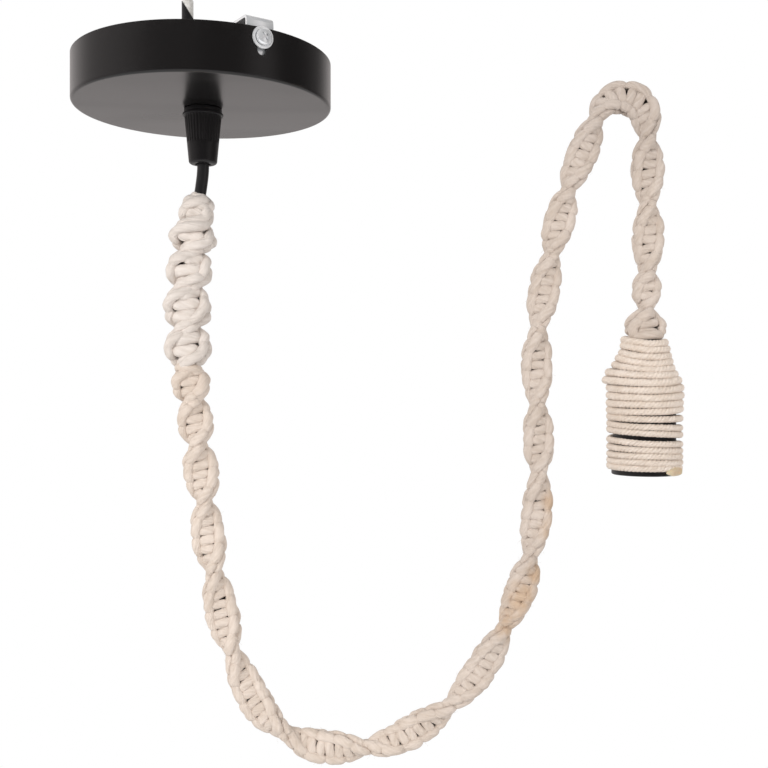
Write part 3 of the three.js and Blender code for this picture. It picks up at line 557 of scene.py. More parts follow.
def press_in(bm, depth_at):
    """Moves points towards the upright axis by a depth for their radius, angle and z."""
    for vert in bm.verts:
        x, y, z = vert.co / MM
        radius = math.hypot(x, y)
        share = 1 - depth_at(radius, math.atan2(y, x), z) / radius
        vert.co.x *= share
        vert.co.y *= share


def moved(x=0.0, y=0.0, z=0.0):
    return Matrix.Translation((x * MM, y * MM, z * MM))


def turn(degrees, axis):
    return Matrix.Rotation(math.radians(degrees), 4, axis)


def box_cutter(width, length, height, matrix):
    bm = bmesh.new()
    bmesh.ops.create_cube(bm, size=MM)
    bmesh.ops.scale(bm, verts=bm.verts, vec=(width, length, height))
    place_at(bm, matrix)
    return bm


def slot_cutter(width, length, depth, matrix):
    """A slot with round ends, its length along X, cut along Z."""
    bm = bmesh.new()
    bmesh.ops.create_circle(bm, cap_ends=True, segments=32, radius=width / 2 * MM)
    half = (length - width) / 2 * MM
    for vert in bm.verts:
        vert.co.x += half if vert.co.x > 0 else -half
    drawn = bmesh.ops.extrude_face_region(bm, geom=list(bm.faces))["geom"]
    tops = [item for item in drawn if isinstance(item, bmesh.types.BMVert)]
    bmesh.ops.translate(bm, verts=tops, vec=(0, 0, depth * MM))
    bmesh.ops.translate(bm, verts=bm.verts, vec=(0, 0, -depth / 2 * MM))
    bmesh.ops.recalc_face_normals(bm, faces=bm.faces)
    place_at(bm, matrix)
    return bm


def cut_away(piece, cutters):
    """The piece less its cutters, with the cuts made in the mesh itself."""
    for bm in cutters:
        tool = finish_piece(bm, "cutter", piece.data.materials[0])
        step = piece.modifiers.new("cut", "BOOLEAN")
        step.operation = "DIFFERENCE"
        step.solver = "EXACT"
        step.object = tool
        bpy.context.view_layer.update()
        ready = piece.evaluated_get(bpy.context.evaluated_depsgraph_get())
        mesh = bpy.data.meshes.new_from_object(ready)
        piece.modifiers.remove(step)
        old, piece.data = piece.data, mesh
        mesh.name = piece.name
        bpy.data.meshes.remove(old)
        tool_mesh = tool.data
        bpy.data.objects.remove(tool)
        bpy.data.meshes.remove(tool_mesh)
    piece.data.polygons.foreach_set("use_smooth", [True] * len(piece.data.polygons))
    piece.data.set_sharp_from_angle(angle=math.radians(30))
    return piece


def unit(rows):
    return rows / np.linalg.norm(rows, axis=1)[:, None]


def strand_mesh(name, centres, outward, half_width, half_thickness, sides):
    """One closed soft strand, made from a grid with a map in metres: x along it and y round it."""
    count = len(centres)
    bm = bmesh.new()
    bm.loops.layers.uv.new("strand")
    bmesh.ops.create_grid(bm, x_segments=count - 1, y_segments=sides, size=0.5, calc_uvs=True)
    mesh = bpy.data.meshes.new(name)
    bm.to_mesh(mesh)
    bm.free()
    flat = np.zeros(3 * len(mesh.vertices))
    mesh.vertices.foreach_get("co", flat)
    flat = flat.reshape(-1, 3)
    row = np.rint((flat[:, 0] + 0.5) * (count - 1)).astype(int)
    turn_share = np.rint((flat[:, 1] + 0.5) * sides) / sides * math.tau
    along = unit(np.gradient(centres, axis=0))
    out = unit(outward - np.sum(outward * along, axis=1)[:, None] * along)
    across = np.cross(along, out)
    place = (centres[row] + across[row] * (half_width[row] * np.cos(turn_share))[:, None]
             + out[row] * (half_thickness[row] * np.sin(turn_share))[:, None])
    mesh.vertices.foreach_set("co", (place * MM).ravel())
    length = lengths(centres)
    girth = np.mean(half_width + half_thickness) / 2
    corner = np.zeros(len(mesh.loops), int)
    mesh.loops.foreach_get("vertex_index", corner)
    uv = np.stack([length[row[corner]], turn_share[corner] * girth], axis=1) * MM
    mesh.uv_layers["strand"].data.foreach_set("uv", uv.ravel())
    return mesh


def tube_piece(name, strands, look):
    """Soft strands as one mesh."""
    bm = bmesh.new()
    for strand in strands:
        mesh = strand_mesh(name, *strand)
        bm.from_mesh(mesh)
        bpy.data.meshes.remove(mesh)
    bmesh.ops.remove_doubles(bm, verts=bm.verts, dist=2e-6)
    bmesh.ops.recalc_face_normals(bm, faces=bm.faces)
    return finish_piece(bm, name, look)


# ---- Lines


def smooth_line(points, steps):
    """Centripetal Catmull-Rom line through the points."""
    points = [np.array(p, float) for p in points]
    line = []
    for i in range(len(points) - 1):
        p1, p2 = points[i], points[i + 1]
        p0 = points[i - 1] if i else 2 * p1 - p2
        p3 = points[i + 2] if i + 2 < len(points) else 2 * p2 - p1
        d0, d1, d2 = (np.sum((b - a) ** 2) ** 0.25 for a, b in ((p0, p1), (p1, p2), (p2, p3)))
        m1 = ((p1 - p0) / d0 - (p2 - p0) / (d0 + d1) + (p2 - p1) / d1) * d1
        m2 = ((p2 - p1) / d1 - (p3 - p1) / (d1 + d2) + (p3 - p2) / d2) * d1
        for k in range(steps):
            t = k / steps
            line.append(p1 + m1 * t + (3 * p2 - 3 * p1 - 2 * m1 - m2) * t * t
                        + (2 * p1 - 2 * p2 + m1 + m2) * t ** 3)
    line.append(points[-1])
    return np.array(line)


def catmull_rows(rows, steps):
    """Plain Catmull-Rom through rows of numbers."""
    rows = np.array(rows)
    padded = np.vstack([2 * rows[0] - rows[1], rows, 2 * rows[-1] - rows[-2]])
    t = (np.arange(steps) / steps)[:, None]
    parts = []
    for a, b, c, d in zip(padded, padded[1:], padded[2:], padded[3:]):
        parts.append(b + (c - a) * t / 2 + (2 * a - 5 * b + 4 * c - d) * t ** 2 / 2
                     + (3 * b - a - 3 * c + d) * t ** 3 / 2)
    return np.vstack(parts + [rows[-1:]])


def lengths(line):
    return np.concatenate([[0], np.cumsum(np.linalg.norm(np.diff(line, axis=0), axis=1))])


def end_taper(count, rows):
    """Rounds both ends of a strand over some rows."""
    ends = np.arange(count)
    return np.sqrt(np.clip(np.minimum(ends, ends[::-1]) / rows, 0.01, 1))


cord_line = smooth_line(CORD_POINTS, 100)
cord_at = lengths(cord_line)
cord_way = unit(np.gradient(cord_line, axis=0))


def on_sleeve(place, x, y):
    """Points at offsets x in the cord's plane and y along +Y, at places along the sleeve."""
    at = SLEEVE_START + place
    px, pz, tx, tz = (np.interp(at, cord_at, column) for column in
                      (cord_line[:, 0], cord_line[:, 1], cord_way[:, 0], cord_way[:, 1]))
    return np.stack([px + tz * x, y, pz - tx * x], axis=1)


def out_of_sleeve(place, angle):
    """Directions square to the cord, at angles about it."""
    return (on_sleeve(place, np.cos(angle), np.sin(angle))
            - on_sleeve(place, 0 * angle, 0 * angle))


# ---- Ceiling cup, bracket and screws


def ceiling_cup():
    outer, inner, bend = CUP_RADIUS, CUP_RADIUS - CUP_WALL, CUP_RADIUS - CUP_EDGE
    low = FACE_Z + CUP_EDGE
    outline = [(outer, RIM_Z - 0.3), (outer, low + 0.6)]
    outline += arc(bend, low, CUP_EDGE, 0, -90, 10)
    outline += [(bend - 0.6, FACE_Z), (40, FACE_Z), (GRIP_HOLE + 1, FACE_Z), (GRIP_HOLE, FACE_Z),
                (GRIP_HOLE, FLOOR_Z), (GRIP_HOLE + 1, FLOOR_Z), (40, FLOOR_Z),
                (bend - 0.6, FLOOR_Z)]
    outline += arc(bend, low, CUP_EDGE - CUP_WALL, -90, 0, 6)
    outline += [(inner, low + 0.6), (inner, RIM_Z - 0.3), (inner + 0.3, RIM_Z),
                (outer - 0.3, RIM_Z)]
    piece = finish_piece(turned(outline, 224), "cup", LOOKS["black_metal"], 30)
    middle = (SLOT_TOP + SLOT_END) / 2
    length = SLOT_TOP - SLOT_END + SLOT_WIDTH
    cutters = []
    for side in (0, 180):
        way = turn(BRACKET_TURN, "Z") @ turn(side, "Z")
        stand = moved(0, -CUP_RADIUS, middle) @ turn(90, "X") @ turn(90, "Z")
        cutters.append(slot_cutter(SLOT_WIDTH, length, 6, way @ stand))
    return stands_for(cut_away(piece, cutters), "canopy_cup")


def ceiling_bracket():
    bend = BRACKET_END - BRACKET_BEND
    right = arc(bend, -BRACKET_BEND, BRACKET_BEND, 90, 0, 8)
    right += [(BRACKET_END, -BRACKET_TAB + 2), (BRACKET_END, -BRACKET_TAB),
              (BRACKET_END - BRACKET_SHEET, -BRACKET_TAB)]
    right += arc(bend, -BRACKET_BEND, BRACKET_BEND - BRACKET_SHEET, 0, 90, 8)
    outline = right + [(-y, z) for y, z in reversed(right)]
    bm = bmesh.new()
    verts = [bm.verts.new((-BRACKET_WIDTH / 2 * MM, y * MM, z * MM)) for y, z in outline]
    face = bm.faces.new(verts)
    drawn = bmesh.ops.extrude_face_region(bm, geom=[face])["geom"]
    ends = [item for item in drawn if isinstance(item, bmesh.types.BMVert)]
    bmesh.ops.translate(bm, verts=ends, vec=(BRACKET_WIDTH * MM, 0, 0))
    bmesh.ops.recalc_face_normals(bm, faces=bm.faces)
    rims = [edge for edge in bm.edges if edge.calc_face_angle(0) > math.radians(60)]
    bmesh.ops.bevel(bm, geom=rims, offset=0.22 * MM, segments=2, profile=0.5, affect="EDGES",
                    material=-1)
    piece = finish_piece(bm, "bracket", LOOKS["zinc"], 30)
    cut_away(piece, [
        slot_cutter(FIXING_WIDTH, FIXING_LENGTH, 8, moved(0, side * FIXING_AT) @ turn(90, "Z"))
        for side in (-1, 1)])
    piece.data.transform(turn(BRACKET_TURN, "Z"))
    return stands_for(piece, "ceiling_bracket")


def pan_screw(name, look, length, head_radius, head_height, matrix):
    """A pan-head screw with a cross recess: its seat at 0 and its head above."""
    radius = SCREW_RADIUS
    z = -length + radius * 0.5
    outline = [(0, -length), (radius * 0.7, -length), (radius, z)]
    while z < -1.2:
        outline += [(radius, z), (radius * 0.84, z + SCREW_PITCH / 2)]
        z += SCREW_PITCH
    edge = head_height * 0.42
    outline += [(radius, -0.4), (radius, 0), (head_radius - 0.15, 0), (head_radius, 0.15),
                (head_radius, edge)]
    crown = head_height - edge
    outline += [(head_radius * math.cos(a), edge + crown * math.sin(a))
                for a in np.radians(np.arange(12, 90, 13))]
    outline.append((0, head_height))
    piece = finish_piece(turned(outline, 48), name, look, 32)
    width, span, depth = head_radius * 0.24, head_radius * 1.15, head_height * 1.1
    cut_away(piece, [box_cutter(x, y, depth, moved(0, 0, head_height))
                     for x, y in ((span, width), (width, span))])
    piece.data.transform(matrix)
    return piece


def screws_and_washers():
    bore = SCREW_RADIUS + 0.15
    inner = HEAD_RADIUS + SEAT
    outline = [(bore, 0), (WASHER_RADIUS - 0.4, 0)]
    outline += arc(WASHER_RADIUS - 0.4, 0.4, 0.4, -90, 0, 4)
    outline += arc(WASHER_RADIUS - 0.4, WASHER_DISH - 0.4, 0.4, 0, 90, 4)
    outline += [(inner + 0.9, WASHER_DISH), (inner + 0.6, WASHER_DISH - 0.06),
                (inner + 0.1, WASHER_SHEET + 0.1), (inner - 0.1, WASHER_SHEET),
                (bore, WASHER_SHEET)]
    seat = CUP_RADIUS + SEAT
    head_seat = seat + WASHER_SHEET + SEAT
    length = head_seat - BRACKET_END + BRACKET_SHEET + 4
    for side, degrees in (("front", 0), ("back", 180)):
        way = turn(BRACKET_TURN, "Z") @ turn(degrees, "Z")
        washer = finish_piece(turned(outline, 72), f"washer_{side}", LOOKS["zinc"], 32)
        washer.data.transform(way @ moved(0, -seat, SCREW_Z) @ turn(90, "X"))
        stands_for(washer, f"side_washer_{side}")
        spot = way @ moved(0, -head_seat, SCREW_Z) @ turn(90, "X") @ turn(36, "Z")
        screw = pan_screw(f"screw_{side}", LOOKS["zinc"], length, HEAD_RADIUS, HEAD_HEIGHT, spot)
        stands_for(screw, f"side_screw_{side}")
    spot = turn(BRACKET_TURN, "Z") @ moved(0, EARTH_SCREW_AT, -BRACKET_SHEET - SEAT)
    spot = spot @ turn(180, "X")
    earth = pan_screw("screw_earth", LOOKS["brass"], BRACKET_SHEET + 3, HEAD_RADIUS - 0.6, 2.0,
                      spot)
    stands_for(earth, "earth_screw")


# ---- Cord grip and the cable's tail


def cord_grip():
    top = FACE_Z - SEAT
    low = top - COLLAR_HEIGHT
    bore = CABLE_RADIUS + 0.6
    outline = [(STUB_RADIUS - 0.4, STUB_TOP), (STUB_RADIUS, STUB_TOP - 0.4), (STUB_RADIUS, top)]
    outline += arc(COLLAR_RADIUS - 0.3, top - 0.3, 0.3, 90, 0, 3)
    outline += arc(COLLAR_RADIUS - 0.3, low + 0.3, 0.3, 0, -90, 3)
    outline += [(SPIGOT_RADIUS, low), (SPIGOT_RADIUS, low - SPIGOT_LENGTH),
                (bore, low - SPIGOT_LENGTH), (bore, STUB_TOP)]
    make(turned(outline, 96), "collar", "black_plastic", "grip_collar", 35)

    top = low - SEAT
    lip = top - CONE_LIP
    tip = GRIP_END + CONE_END_ROUND
    inside = SPIGOT_RADIUS + SEAT
    rib_end = lip + (tip - lip) * RIB_SHARE
    slope = (CONE_TOP_RADIUS - CONE_END_RADIUS) / (lip - tip)
    down = [*np.linspace(lip - 0.05, rib_end, 26), *np.linspace(rib_end - 0.8, tip, 6)]
    outline = [(inside, top)]
    outline += arc(CONE_LIP_RADIUS - 0.3, top - 0.3, 0.3, 90, 0, 3)
    outline += arc(CONE_LIP_RADIUS - 0.3, lip + 0.3, 0.3, 0, -90, 3)
    outline += [(CONE_TOP_RADIUS - slope * (lip - z), z) for z in down[:-1]]
    outline += arc(CONE_END_RADIUS - CONE_END_ROUND, tip, CONE_END_ROUND, 0, -90, 8)
    outline += [(CONE_MOUTH_RADIUS + 0.2, GRIP_END), (CONE_MOUTH_RADIUS, GRIP_END + 0.2),
                (CONE_MOUTH_RADIUS, GRIP_END + 3), (inside, low - SPIGOT_LENGTH - 1)]

    def groove(radius, angle, z):
        if radius < inside + 0.5 or not rib_end < z < lip - 0.02:
            return 0
        ends = min(1, (lip - z) / 0.9, (z - rib_end) / 1.2)
        return RIB_DEPTH * ends * (0.5 - 0.5 * math.cos(RIB_COUNT * angle)) ** 1.5

    bm = turned(outline, 8 * RIB_COUNT)
    press_in(bm, groove)
    make(bm, "cone", "black_plastic", "grip_cone", 40)


def solid_tube(line, radius, sides):
    """A closed round tube along a line, with flat ends."""
    bm = bmesh.new()
    rings = []
    along = unit(np.gradient(line, axis=0))
    side = unit(np.cross(along, (0.0, 1.0, 0.0)))
    angles = np.arange(sides) / sides * math.tau
    for centre, a, b in zip(line, side, np.cross(along, side)):
        ring = centre + radius * (np.cos(angles)[:, None] * a + np.sin(angles)[:, None] * b)
        verts = [bm.verts.new(point * MM) for point in ring]
        edges = [bm.edges.new((verts[i - 1], verts[i])) for i in range(sides)]
        if rings:
            bmesh.ops.bridge_loops(bm, edges=rings[-1] + edges)
        rings.append(edges)
    bmesh.ops.holes_fill(bm, edges=rings[0] + rings[-1], sides=0)
    bmesh.ops.recalc_face_normals(bm, faces=bm.faces)
    return bm


def cable_tail():
    line = smooth_line(TAIL_POINTS, 8)
    bm = solid_tube(line, CABLE_RADIUS, 40)
    x, y = TAIL_POINTS[-1][:2]
    spot = Vector((x * MM, y * MM, TAIL_CUT_Z * MM))
    face_way = Vector((math.sin(TAIL_CUT_TILT), 0, math.cos(TAIL_CUT_TILT)))
    cut = bmesh.ops.bisect_plane(bm, geom=list(bm.verts) + list(bm.edges) + list(bm.faces),
                                 plane_co=spot, plane_no=face_way, clear_outer=True)["geom_cut"]
    rim = [item for item in cut if isinstance(item, bmesh.types.BMEdge)]
    bmesh.ops.holes_fill(bm, edges=rim, sides=0)
    bmesh.ops.recalc_face_normals(bm, faces=bm.faces)
    make(bm, "tail_sheath", "cable_black", "cable_tail", 35)
    outline = [(0, CORE_START), (CORE_RADIUS, CORE_START), (CORE_RADIUS, CORE_END - 0.4),
               (CORE_RADIUS - 0.12, CORE_END - 0.12), (CORE_RADIUS - 0.4, CORE_END), (0, CORE_END)]
    bm = turned(outline, 48)
    place_at(bm, moved(x, y))
    make(bm, "tail_filler", "pale_core", "tail_core", 35)


def cable():
    line = cord_line[::10]
    data = bpy.data.curves.new("cable_flex", "CURVE")
    data.dimensions = "3D"
    spline = data.splines.new("POLY")
    spline.points.add(len(line) - 1)
    spline.points.foreach_set("co", [c for x, z in line for c in (x * MM, 0, z * MM, 1)])
    data.bevel_depth = CABLE_RADIUS * MM
    data.bevel_resolution = 8
    data.use_fill_caps = True
    data.materials.append(LOOKS["cable_black"])
    return stands_for(new_object("cable_flex", data), "cable")


# ---- Knotted sleeve

# A working cord over one half-knot: the share of the side reach, the shares of the bar's and the
# side's height, the place in half-knots, the outward angle, how flat it is and its size
HALF_KNOT = [
    (1.00, 0, 1.0, -0.50, 70, 0.0, 1.0),
    (1.00, 0, 1.0, 0.00, 66, 0.0, 1.0),
    (0.96, 0, 0.75, 0.37, 45, 0.1, 0.95),
    (0.86, 0, 0.1, 0.52, 0, 0.2, 0.8),
    (0.68, 0, -0.6, 0.36, -60, 0.5, 0.8),
    (0.48, -1, 0.0, 0.08, -88, 0.9, 1.0),
    (0.00, -1, 0.0, 0.00, -90, 1.0, 1.0),
    (-0.48, -1, 0.0, -0.08, -92, 0.9, 1.0),
    (-0.68, 0, -0.6, -0.36, -120, 0.5, 0.8),
    (-0.86, 0, 0.1, -0.52, -180, 0.2, 0.8),
    (-0.96, 0, 0.75, -0.37, -225, 0.1, 0.95),
    (-1.00, 0, 1.0, 0.00, -246, 0.0, 1.0),
]
BAR_SLANT = 0.12


def even_twist(place):
    """Half a turn from waist to waist."""
    twist = np.interp(place, WAISTS, (np.arange(len(WAISTS)) + 0.5) * math.pi)
    first = (WAISTS[0] - place) / (WAISTS[1] - WAISTS[0])
    return np.where(place < WAISTS[0], (0.5 - first) * math.pi, twist)


def sleeve_twist(place):
    """The sleeve's turn about its own line, quick at the waists and slow between them."""
    twist = even_twist(place)
    gather = np.where(place < WHITE_LENGTH, WHITE_GATHER, NATURAL_GATHER)
    return twist - gather * np.sin(2 * twist)


def sleeve_size(place):
    """Half-width and half-thickness, both drawn in towards the waists."""
    reach = np.interp(place, SLEEVE_FORM[:, 0], SLEEVE_FORM[:, 1])
    depth = np.interp(place, SLEEVE_FORM[:, 0], SLEEVE_FORM[:, 2])
    halves = even_twist(place) / math.pi
    near = np.abs(2 * (halves - np.round(halves))) ** WAIST_SHARPNESS
    near = np.where(place < WHITE_LENGTH, 0, near)
    return reach * (1 - WAIST_NARROWER * near), depth * (1 - WAIST_THINNER * near)


def knot_cord(start, end, knots, first, sizes, steps):
    """One working cord of the sleeve; the second one is the first turned half round."""
    side_half, side_thick, bar_half = sizes
    random = np.random.RandomState(11 + first)
    pitch = (end - start) / knots
    flip = -1 if first else 1
    rows = []
    for k in range(-1, knots + 1):
        way = 1 if k % 2 == 0 else -1
        bar_width = random.uniform(0.86, 1.04)
        swell = random.normal(1, 0.05)
        for u, bar, side, place, angle, flat, size in HALF_KNOT:
            jitter = random.normal(0, 1, 3)
            slant = BAR_SLANT * way * u * (bar + side)
            width = bar_width if flat > 0.8 else swell
            leaning = angle if way > 0 else -180 - angle
            rows.append((flip * way * u * (1 + 0.025 * jitter[0]), flip * bar,
                         flip * side * (1 + 0.04 * jitter[1]),
                         k + place - slant + 0.5 + 0.03 * jitter[2], leaning + 90 * (1 - flip),
                         flat, size * width, size * swell))
    line = catmull_rows(rows, steps)
    place = start + line[:, 3] * pitch
    inside = np.nonzero((place > start + 0.3) & (place < end - 0.3))[0]
    line = line[inside[0]:inside[-1]]
    place = np.clip(start + line[:, 3] * pitch, start + 0.3, end - 0.3)
    twist = sleeve_twist(place)
    reach, depth = sleeve_size(place)
    flat = np.clip(line[:, 5], 0, 1)
    half_width = (flat * pitch * 0.55 + (1 - flat) * side_half) * line[:, 6]
    half_thick = (flat * bar_half + (1 - flat) * side_thick) * line[:, 7]
    u = line[:, 0] * np.maximum(reach - side_half, 1)
    v = line[:, 1] * (depth - bar_half - 0.3) + line[:, 2] * (depth - side_thick * 0.95)
    angle = np.radians(line[:, 4]) + twist
    x = u * np.cos(twist) - v * np.sin(twist)
    y = u * np.sin(twist) + v * np.cos(twist)
    centres = on_sleeve(place, x, y)
    taper = end_taper(len(place), 4)
    return (centres, out_of_sleeve(place, angle), half_width * taper, half_thick * taper,
            STRAND_SIDES)


def wrap(middle, radius_x, radius_y, half, lean, begin, turns):
    """A strand wrapped round the sleeve, its ends tucked in towards the cable."""
    angle = np.radians(begin) + np.linspace(0, turns * math.tau, int(turns * 56))
    share = np.linspace(0, 1, len(angle))
    tuck = 1 - 0.32 * np.clip(np.maximum(0.12 - share, share - 0.88) / 0.12, 0, 1)
    place = middle + lean * np.cos(angle - np.radians(begin)) + (share - 0.5) * half * 0.8
    centres = on_sleeve(place, radius_x * tuck * np.cos(angle), radius_y * tuck * np.sin(angle))
    size = half * end_taper(len(angle), 5)
    return centres, out_of_sleeve(place, angle), size, size * 0.9, STRAND_SIDES


def stray_fibres(start, end, count, seed):
    """Short loose fibres that stand off the sleeve."""
    random = np.random.RandomState(seed)
    strands = []
    for _ in range(count):
        spot = random.uniform(start + 2, end - 2)
        angle = random.uniform(0, math.tau)
        reach, depth = sleeve_size(spot)
        turned_by = angle - sleeve_twist(np.array(spot))
        surface = 1 / math.hypot(math.cos(turned_by) / reach, math.sin(turned_by) / depth)
        rise = random.uniform(0.8, 3.0)
        bend = random.uniform(-0.22, 0.22)
        slide = random.uniform(-3.5, 3.5)
        t = np.linspace(0, 1, 5)
        radius = surface * 0.86 + (rise + surface * 0.14) * t ** 0.8
        turn_to = angle + bend * t
        place = np.clip(spot + slide * t ** 1.5, start, end)
        centres = on_sleeve(place, radius * np.cos(turn_to), radius * np.sin(turn_to))
        outward = np.tile((0.3, 0.5, 0.8), (5, 1))
        size = 0.04 * np.array((1, 1, 1, 0.9, 0.4))
        strands.append((centres, outward, size, size, 3))
    return strands


def knotted_sleeve():
    pieces = []
    for section, node, look, start, end, knots, sizes, steps, hairs in SECTIONS:
        for first, letter in enumerate("ab"):
            name = f"{section}_{letter}"
            strands = [knot_cord(start, end, knots, first, sizes, steps)]
            if name in WRAPS:
                strands.append(wrap(*WRAPS[name]))
            strands += stray_fibres(start, end, hairs, 31 + first)
            pieces.append(stands_for(tube_piece(name, strands, LOOKS[look]), node))
    return pieces


# ---- Lampholder


def cap_outside(inset=0.0):
    """The cap's outline from its top down, or a line inside it."""
    rise = HOLDER_RADIUS - CAP_TOP_RADIUS
    fall = 1 - CAP_SLOPE
    return [(CAP_TOP_RADIUS + rise * out - inset,
             HOLDER_TOP - 1 + down * fall - inset * (1 - down)) for down, out in CAP_FORM]


def about_holder(bm, name, look, node, smooth_angle=35):
    place_at(bm, moved(HOLDER_X))
    make(bm, name, look, node, smooth_angle)


def lampholder():
    inside = [(max(r, CAP_BORE), z) for r, z in cap_outside(CAP_WALL)]
    outline = [(CAP_BORE, HOLDER_TOP), (CAP_TOP_RADIUS - 1, HOLDER_TOP)] + cap_outside()
    outline += [(HOLDER_RADIUS, CAP_END), (HOLDER_RADIUS - CAP_WALL, CAP_END)] + inside[::-1]
    about_holder(turned(outline, 96), "cap", "black_plastic", "holder_cap", 40)

    low = HOLDER_TOP + SEAT
    top = low + BUSH_FLANGE
    edge = BUSH_FLANGE_RADIUS - 0.35
    outline = [(BUSH_BORE, top)] + arc(edge, top - 0.35, 0.35, 90, 0, 4)
    outline += arc(edge, low + 0.35, 0.35, 0, -90, 4)
    outline += [(CAP_BORE - 0.3, low), (CAP_BORE - 0.3, HOLDER_TOP - 5),
                (BUSH_BORE, HOLDER_TOP - 5)]
    about_holder(turned(outline, 64), "bush", "black_plastic", "entry_bush")

    neck = HOLDER_RADIUS - CAP_WALL - SEAT
    shell_top = CAP_END - SEAT
    shell_bore = HOLDER_RADIUS - SHELL_WALL
    neck_top = HOLDER_TOP - CAP_SLOPE - 0.6
    outline = [(neck - NECK_WALL, neck_top), (neck, neck_top), (neck, shell_top)]
    outline += [(HOLDER_RADIUS, shell_top), (HOLDER_RADIUS, RIM_TOP)]
    outline += arc(RIM_RADIUS - 0.3, RIM_TOP - 0.3, 0.3, 90, 0, 4)
    outline += arc(RIM_RADIUS - 0.8, MOUTH_Z + 0.8, 0.8, 0, -90, 6)
    outline += arc(shell_bore + 0.8, MOUTH_Z + 0.8, 0.8, -90, -180, 6)
    outline += [(shell_bore, shell_top - 2), (neck - NECK_WALL, shell_top - 2)]
    about_holder(turned(outline, 144), "shell", "black_plastic", "holder_shell")

    end = SOCKET_TOP - SOCKET_LENGTH
    first = SOCKET_TOP - 2
    last = end + 1.6
    down = np.arange(first, last, -0.3)
    inner = SOCKET_RADIUS - SOCKET_SHEET
    outline = [(SOCKET_HOLE, SOCKET_TOP), (SOCKET_RADIUS - 0.8, SOCKET_TOP)]
    outline += arc(SOCKET_RADIUS - 0.8, SOCKET_TOP - 0.8, 0.8, 60, 0, 3)
    outline += [(SOCKET_RADIUS, z) for z in down] + [(SOCKET_RADIUS, end), (inner, end)]
    outline += [(inner, z) for z in down[::-1]]
    outline += [(inner, SOCKET_TOP - 0.9), (SOCKET_RADIUS - 0.9, SOCKET_TOP - SOCKET_SHEET),
                (SOCKET_HOLE, SOCKET_TOP - SOCKET_SHEET)]

    def thread(radius, angle, z):
        if radius < SOCKET_RADIUS - 0.7 or not last - 0.2 < z < first + 0.2:
            return 0
        ends = min(1, (first + 0.2 - z) / 1.2, (z - last + 0.2) / 1.2)
        return THREAD_DEPTH * ends * (0.5 - 0.5 * math.cos(math.tau * z / THREAD_PITCH - angle))

    bm = turned(outline, 108)
    press_in(bm, thread)
    about_holder(bm, "socket", "brass", "screw_shell", 60)


def under_rope(height):
    """Radius of the cap or shell at a height."""
    outside = np.array(cap_outside())[::-1]
    return np.interp(height, outside[:, 1], outside[:, 0])


def rope_line():
    """The rope's middle, through four places in each turn and with small unevenness."""
    steps = 48
    rows = [ROPE_START]
    for k, (left, front, right, radius_left, radius_right) in enumerate(ROPE_TURNS):
        rows += [(left, radius_left), (front, (radius_left + radius_right) / 2),
                 (right, radius_right)]
        if k + 1 < len(ROPE_TURNS):
            following = ROPE_TURNS[k + 1]
            rows.append(((right + following[0]) / 2, (radius_right + following[3]) / 2))
    line = catmull_rows(rows, steps)[:-steps // 5]
    theta = (np.arange(len(line)) / steps + 1) * math.pi / 2
    random = np.random.RandomState(5)
    at = np.arange(len(line))
    knots = np.arange(0, len(line) + 16, 16)
    height = line[:, 0] + 0.1 * np.interp(at, knots, random.normal(0, 1, len(knots)))
    radius = line[:, 1] - PLY_OFFSET - PLY_RADIUS
    radius += 0.08 * np.interp(at, knots, random.normal(0, 1, len(knots)))
    radius = np.maximum(radius, under_rope(height) + PLY_OFFSET + PLY_RADIUS - 0.4)
    radius[:steps // 2] -= np.linspace(2.5, 0, steps // 2)
    return np.stack([HOLDER_X + radius * np.cos(theta), radius * np.sin(theta), height], axis=1)


def rope_winding():
    line = rope_line()
    at = lengths(line)
    dense = np.linspace(0, at[-1], int(at[-1] / 0.8))
    centre = np.stack([np.interp(dense, at, line[:, i]) for i in range(3)], axis=1)
    along = unit(np.gradient(centre, axis=0))
    radial = centre - np.array([HOLDER_X, 0, 0])
    radial[:, 2] = 0
    radial = unit(radial - np.sum(radial * along, axis=1)[:, None] * along)
    side = np.cross(along, radial)
    random = np.random.RandomState(8)
    knots = np.arange(0, at[-1] + 30, 30)
    slip = np.interp(dense, knots, random.normal(0, 0.35, len(knots)))
    strands = []
    for ply in range(3):
        lay = -math.tau * (dense / ROPE_LAY + ply / 3) + slip
        out = radial * np.cos(lay)[:, None] + side * np.sin(lay)[:, None]
        taper = end_taper(len(dense), 3)
        uneven = 1 + 0.05 * np.interp(dense, knots, random.normal(0, 1, len(knots)))
        size = taper * uneven * np.interp(centre[:, 2], (-216, -208), (PLY_RADIUS_LOW, PLY_RADIUS))
        strands.append((centre + out * PLY_OFFSET, out, size, size * 0.94, 8))
    return stands_for(tube_piece("rope_plies", strands, LOOKS["rope"]), "rope_winding")


def glue_drop():
    bm = bmesh.new()
    bmesh.ops.create_icosphere(bm, subdivisions=4, radius=MM)
    for vert in bm.verts:
        x, y, z = vert.co.normalized()
        swell = 1 + 0.08 * math.sin(3 * x + 2 * z) + 0.06 * math.sin(5 * z - 2 * x + 1)
        vert.co *= swell
    bmesh.ops.scale(bm, verts=bm.verts, vec=GLUE_SIZE)
    spot = moved(RIM_RADIUS + SEAT + GLUE_OUT, 0, RIM_TOP + 0.2)
    place_at(bm, moved(HOLDER_X) @ turn(GLUE_TURN, "Z") @ spot @ turn(90, "Z"))
    make(bm, "glue_blob", "glue", "glue_drop")


# ---- Stage


def camera():
    data = bpy.data.cameras.new("camera")
    data.lens = CAMERA_LENS
    data.sensor_width = 36
    data.clip_start, data.clip_end = 0.01, 50
    made = new_object("camera", data)
    made.location = [c * MM for c in CAMERA_PLACE]
    made.rotation_euler = (math.pi / 2, 0, 0)
    bpy.context.scene.camera = made


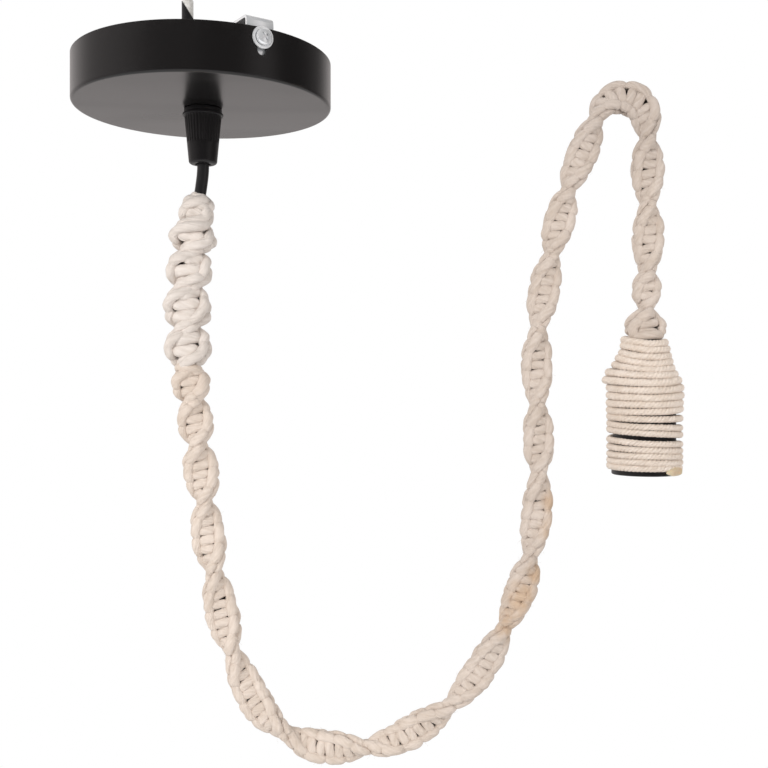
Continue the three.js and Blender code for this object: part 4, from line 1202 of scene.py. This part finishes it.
def area_light(name, place, size, power):
    data = bpy.data.lights.new(name, "AREA")
    data.shape = "DISK"
    data.size = size
    data.energy = power
    made = new_object(name, data)
    made.location = place
    made.rotation_euler = (Vector(LIGHTS_AIM) - Vector(place)).to_track_quat("-Z", "Y").to_euler()
    made.visible_glossy = False


def surroundings():
    """White surroundings that are darker in front, where a glossy face would show them."""
    world = bpy.data.worlds.new("studio")
    bpy.context.scene.world = world
    world.use_nodes = True
    tree = world.node_tree
    tree.nodes.clear()
    x, y, _ = split(tree.nodes.new("ShaderNodeTexCoord").outputs["Generated"])
    right = spread(x, 0.0, 0.22)
    behind = times(spread(y, 0.1, 0.9, 0.12, 0.8), spread(right, 0.0, 1.0, 1.0, 0.35))
    left = spread(x, -0.5, -0.95, 0.0, 0.4)
    far_right = times(right, spread(y, 0.6, 0.95, 0.0, 0.52))
    lamp = times(spread(x, 0.62, 0.86), spread(y, -0.15, -0.4, 0.0, 0.42))
    around = plus(plus(behind, left), plus(far_right, lamp))
    glossy, light, seen = (
        wire(tree, "ShaderNodeBackground", {"Color": colour, "Strength": strength}).outputs[0]
        for colour, strength in (((1, 0.935, 0.92, 1), around), ((1, 1, 1, 1), 0.68),
                                 ((1, 1, 1, 1), 1.0)))
    path = tree.nodes.new("ShaderNodeLightPath").outputs
    lit = wire(tree, "ShaderNodeMixShader", {0: path["Is Glossy Ray"], 1: light, 2: glossy})
    through = maths("MAXIMUM", path["Is Camera Ray"], path["Is Transmission Ray"])
    shown = wire(tree, "ShaderNodeMixShader", {0: through, 1: lit.outputs[0], 2: seen})
    wire(tree, "ShaderNodeOutputWorld", {"Surface": shown.outputs[0]})


def floor():
    """A pale floor that fades into the white behind it towards its edge, for the camera only."""
    look, shader, place = material("floor_white")
    tone = blend(noise(place, 6.0, 3.0), (0.88, 0.88, 0.88), (0.92, 0.92, 0.92))
    direct = look.node_tree.nodes.new("ShaderNodeLightPath").outputs["Is Camera Ray"]
    glow = times(spread(distance(place, FLOOR_MIDDLE), 0.9, 2.4, 0.0, 0.42), direct)
    put(shader, Base_Color=tone, Roughness=0.85, Emission_Color=(1.0, 1.0, 1.0, 1.0),
        Emission_Strength=glow)
    look.cycles.emission_sampling = "NONE"
    bm = bmesh.new()
    bmesh.ops.create_circle(bm, cap_ends=True, segments=96, radius=FLOOR_RADIUS)
    bmesh.ops.translate(bm, verts=bm.verts, vec=FLOOR_MIDDLE)
    finish_piece(bm, "floor", look)


camera()
ceiling_cup()
ceiling_bracket()
screws_and_washers()
cord_grip()
cable_tail()
flex = cable()
knots = knotted_sleeve()
lampholder()
rope_winding()
glue_drop()
for node, slot_name in NODE_SLOTS.items():
    for material_slot in NODES[node].material_slots:
        material_slot.link = "OBJECT"
        material_slot.material = LOOKS[slot_name]
surroundings()
for light in LIGHTS:
    area_light(*light)
floor()

bpy.context.scene.view_settings.view_transform = "Standard"
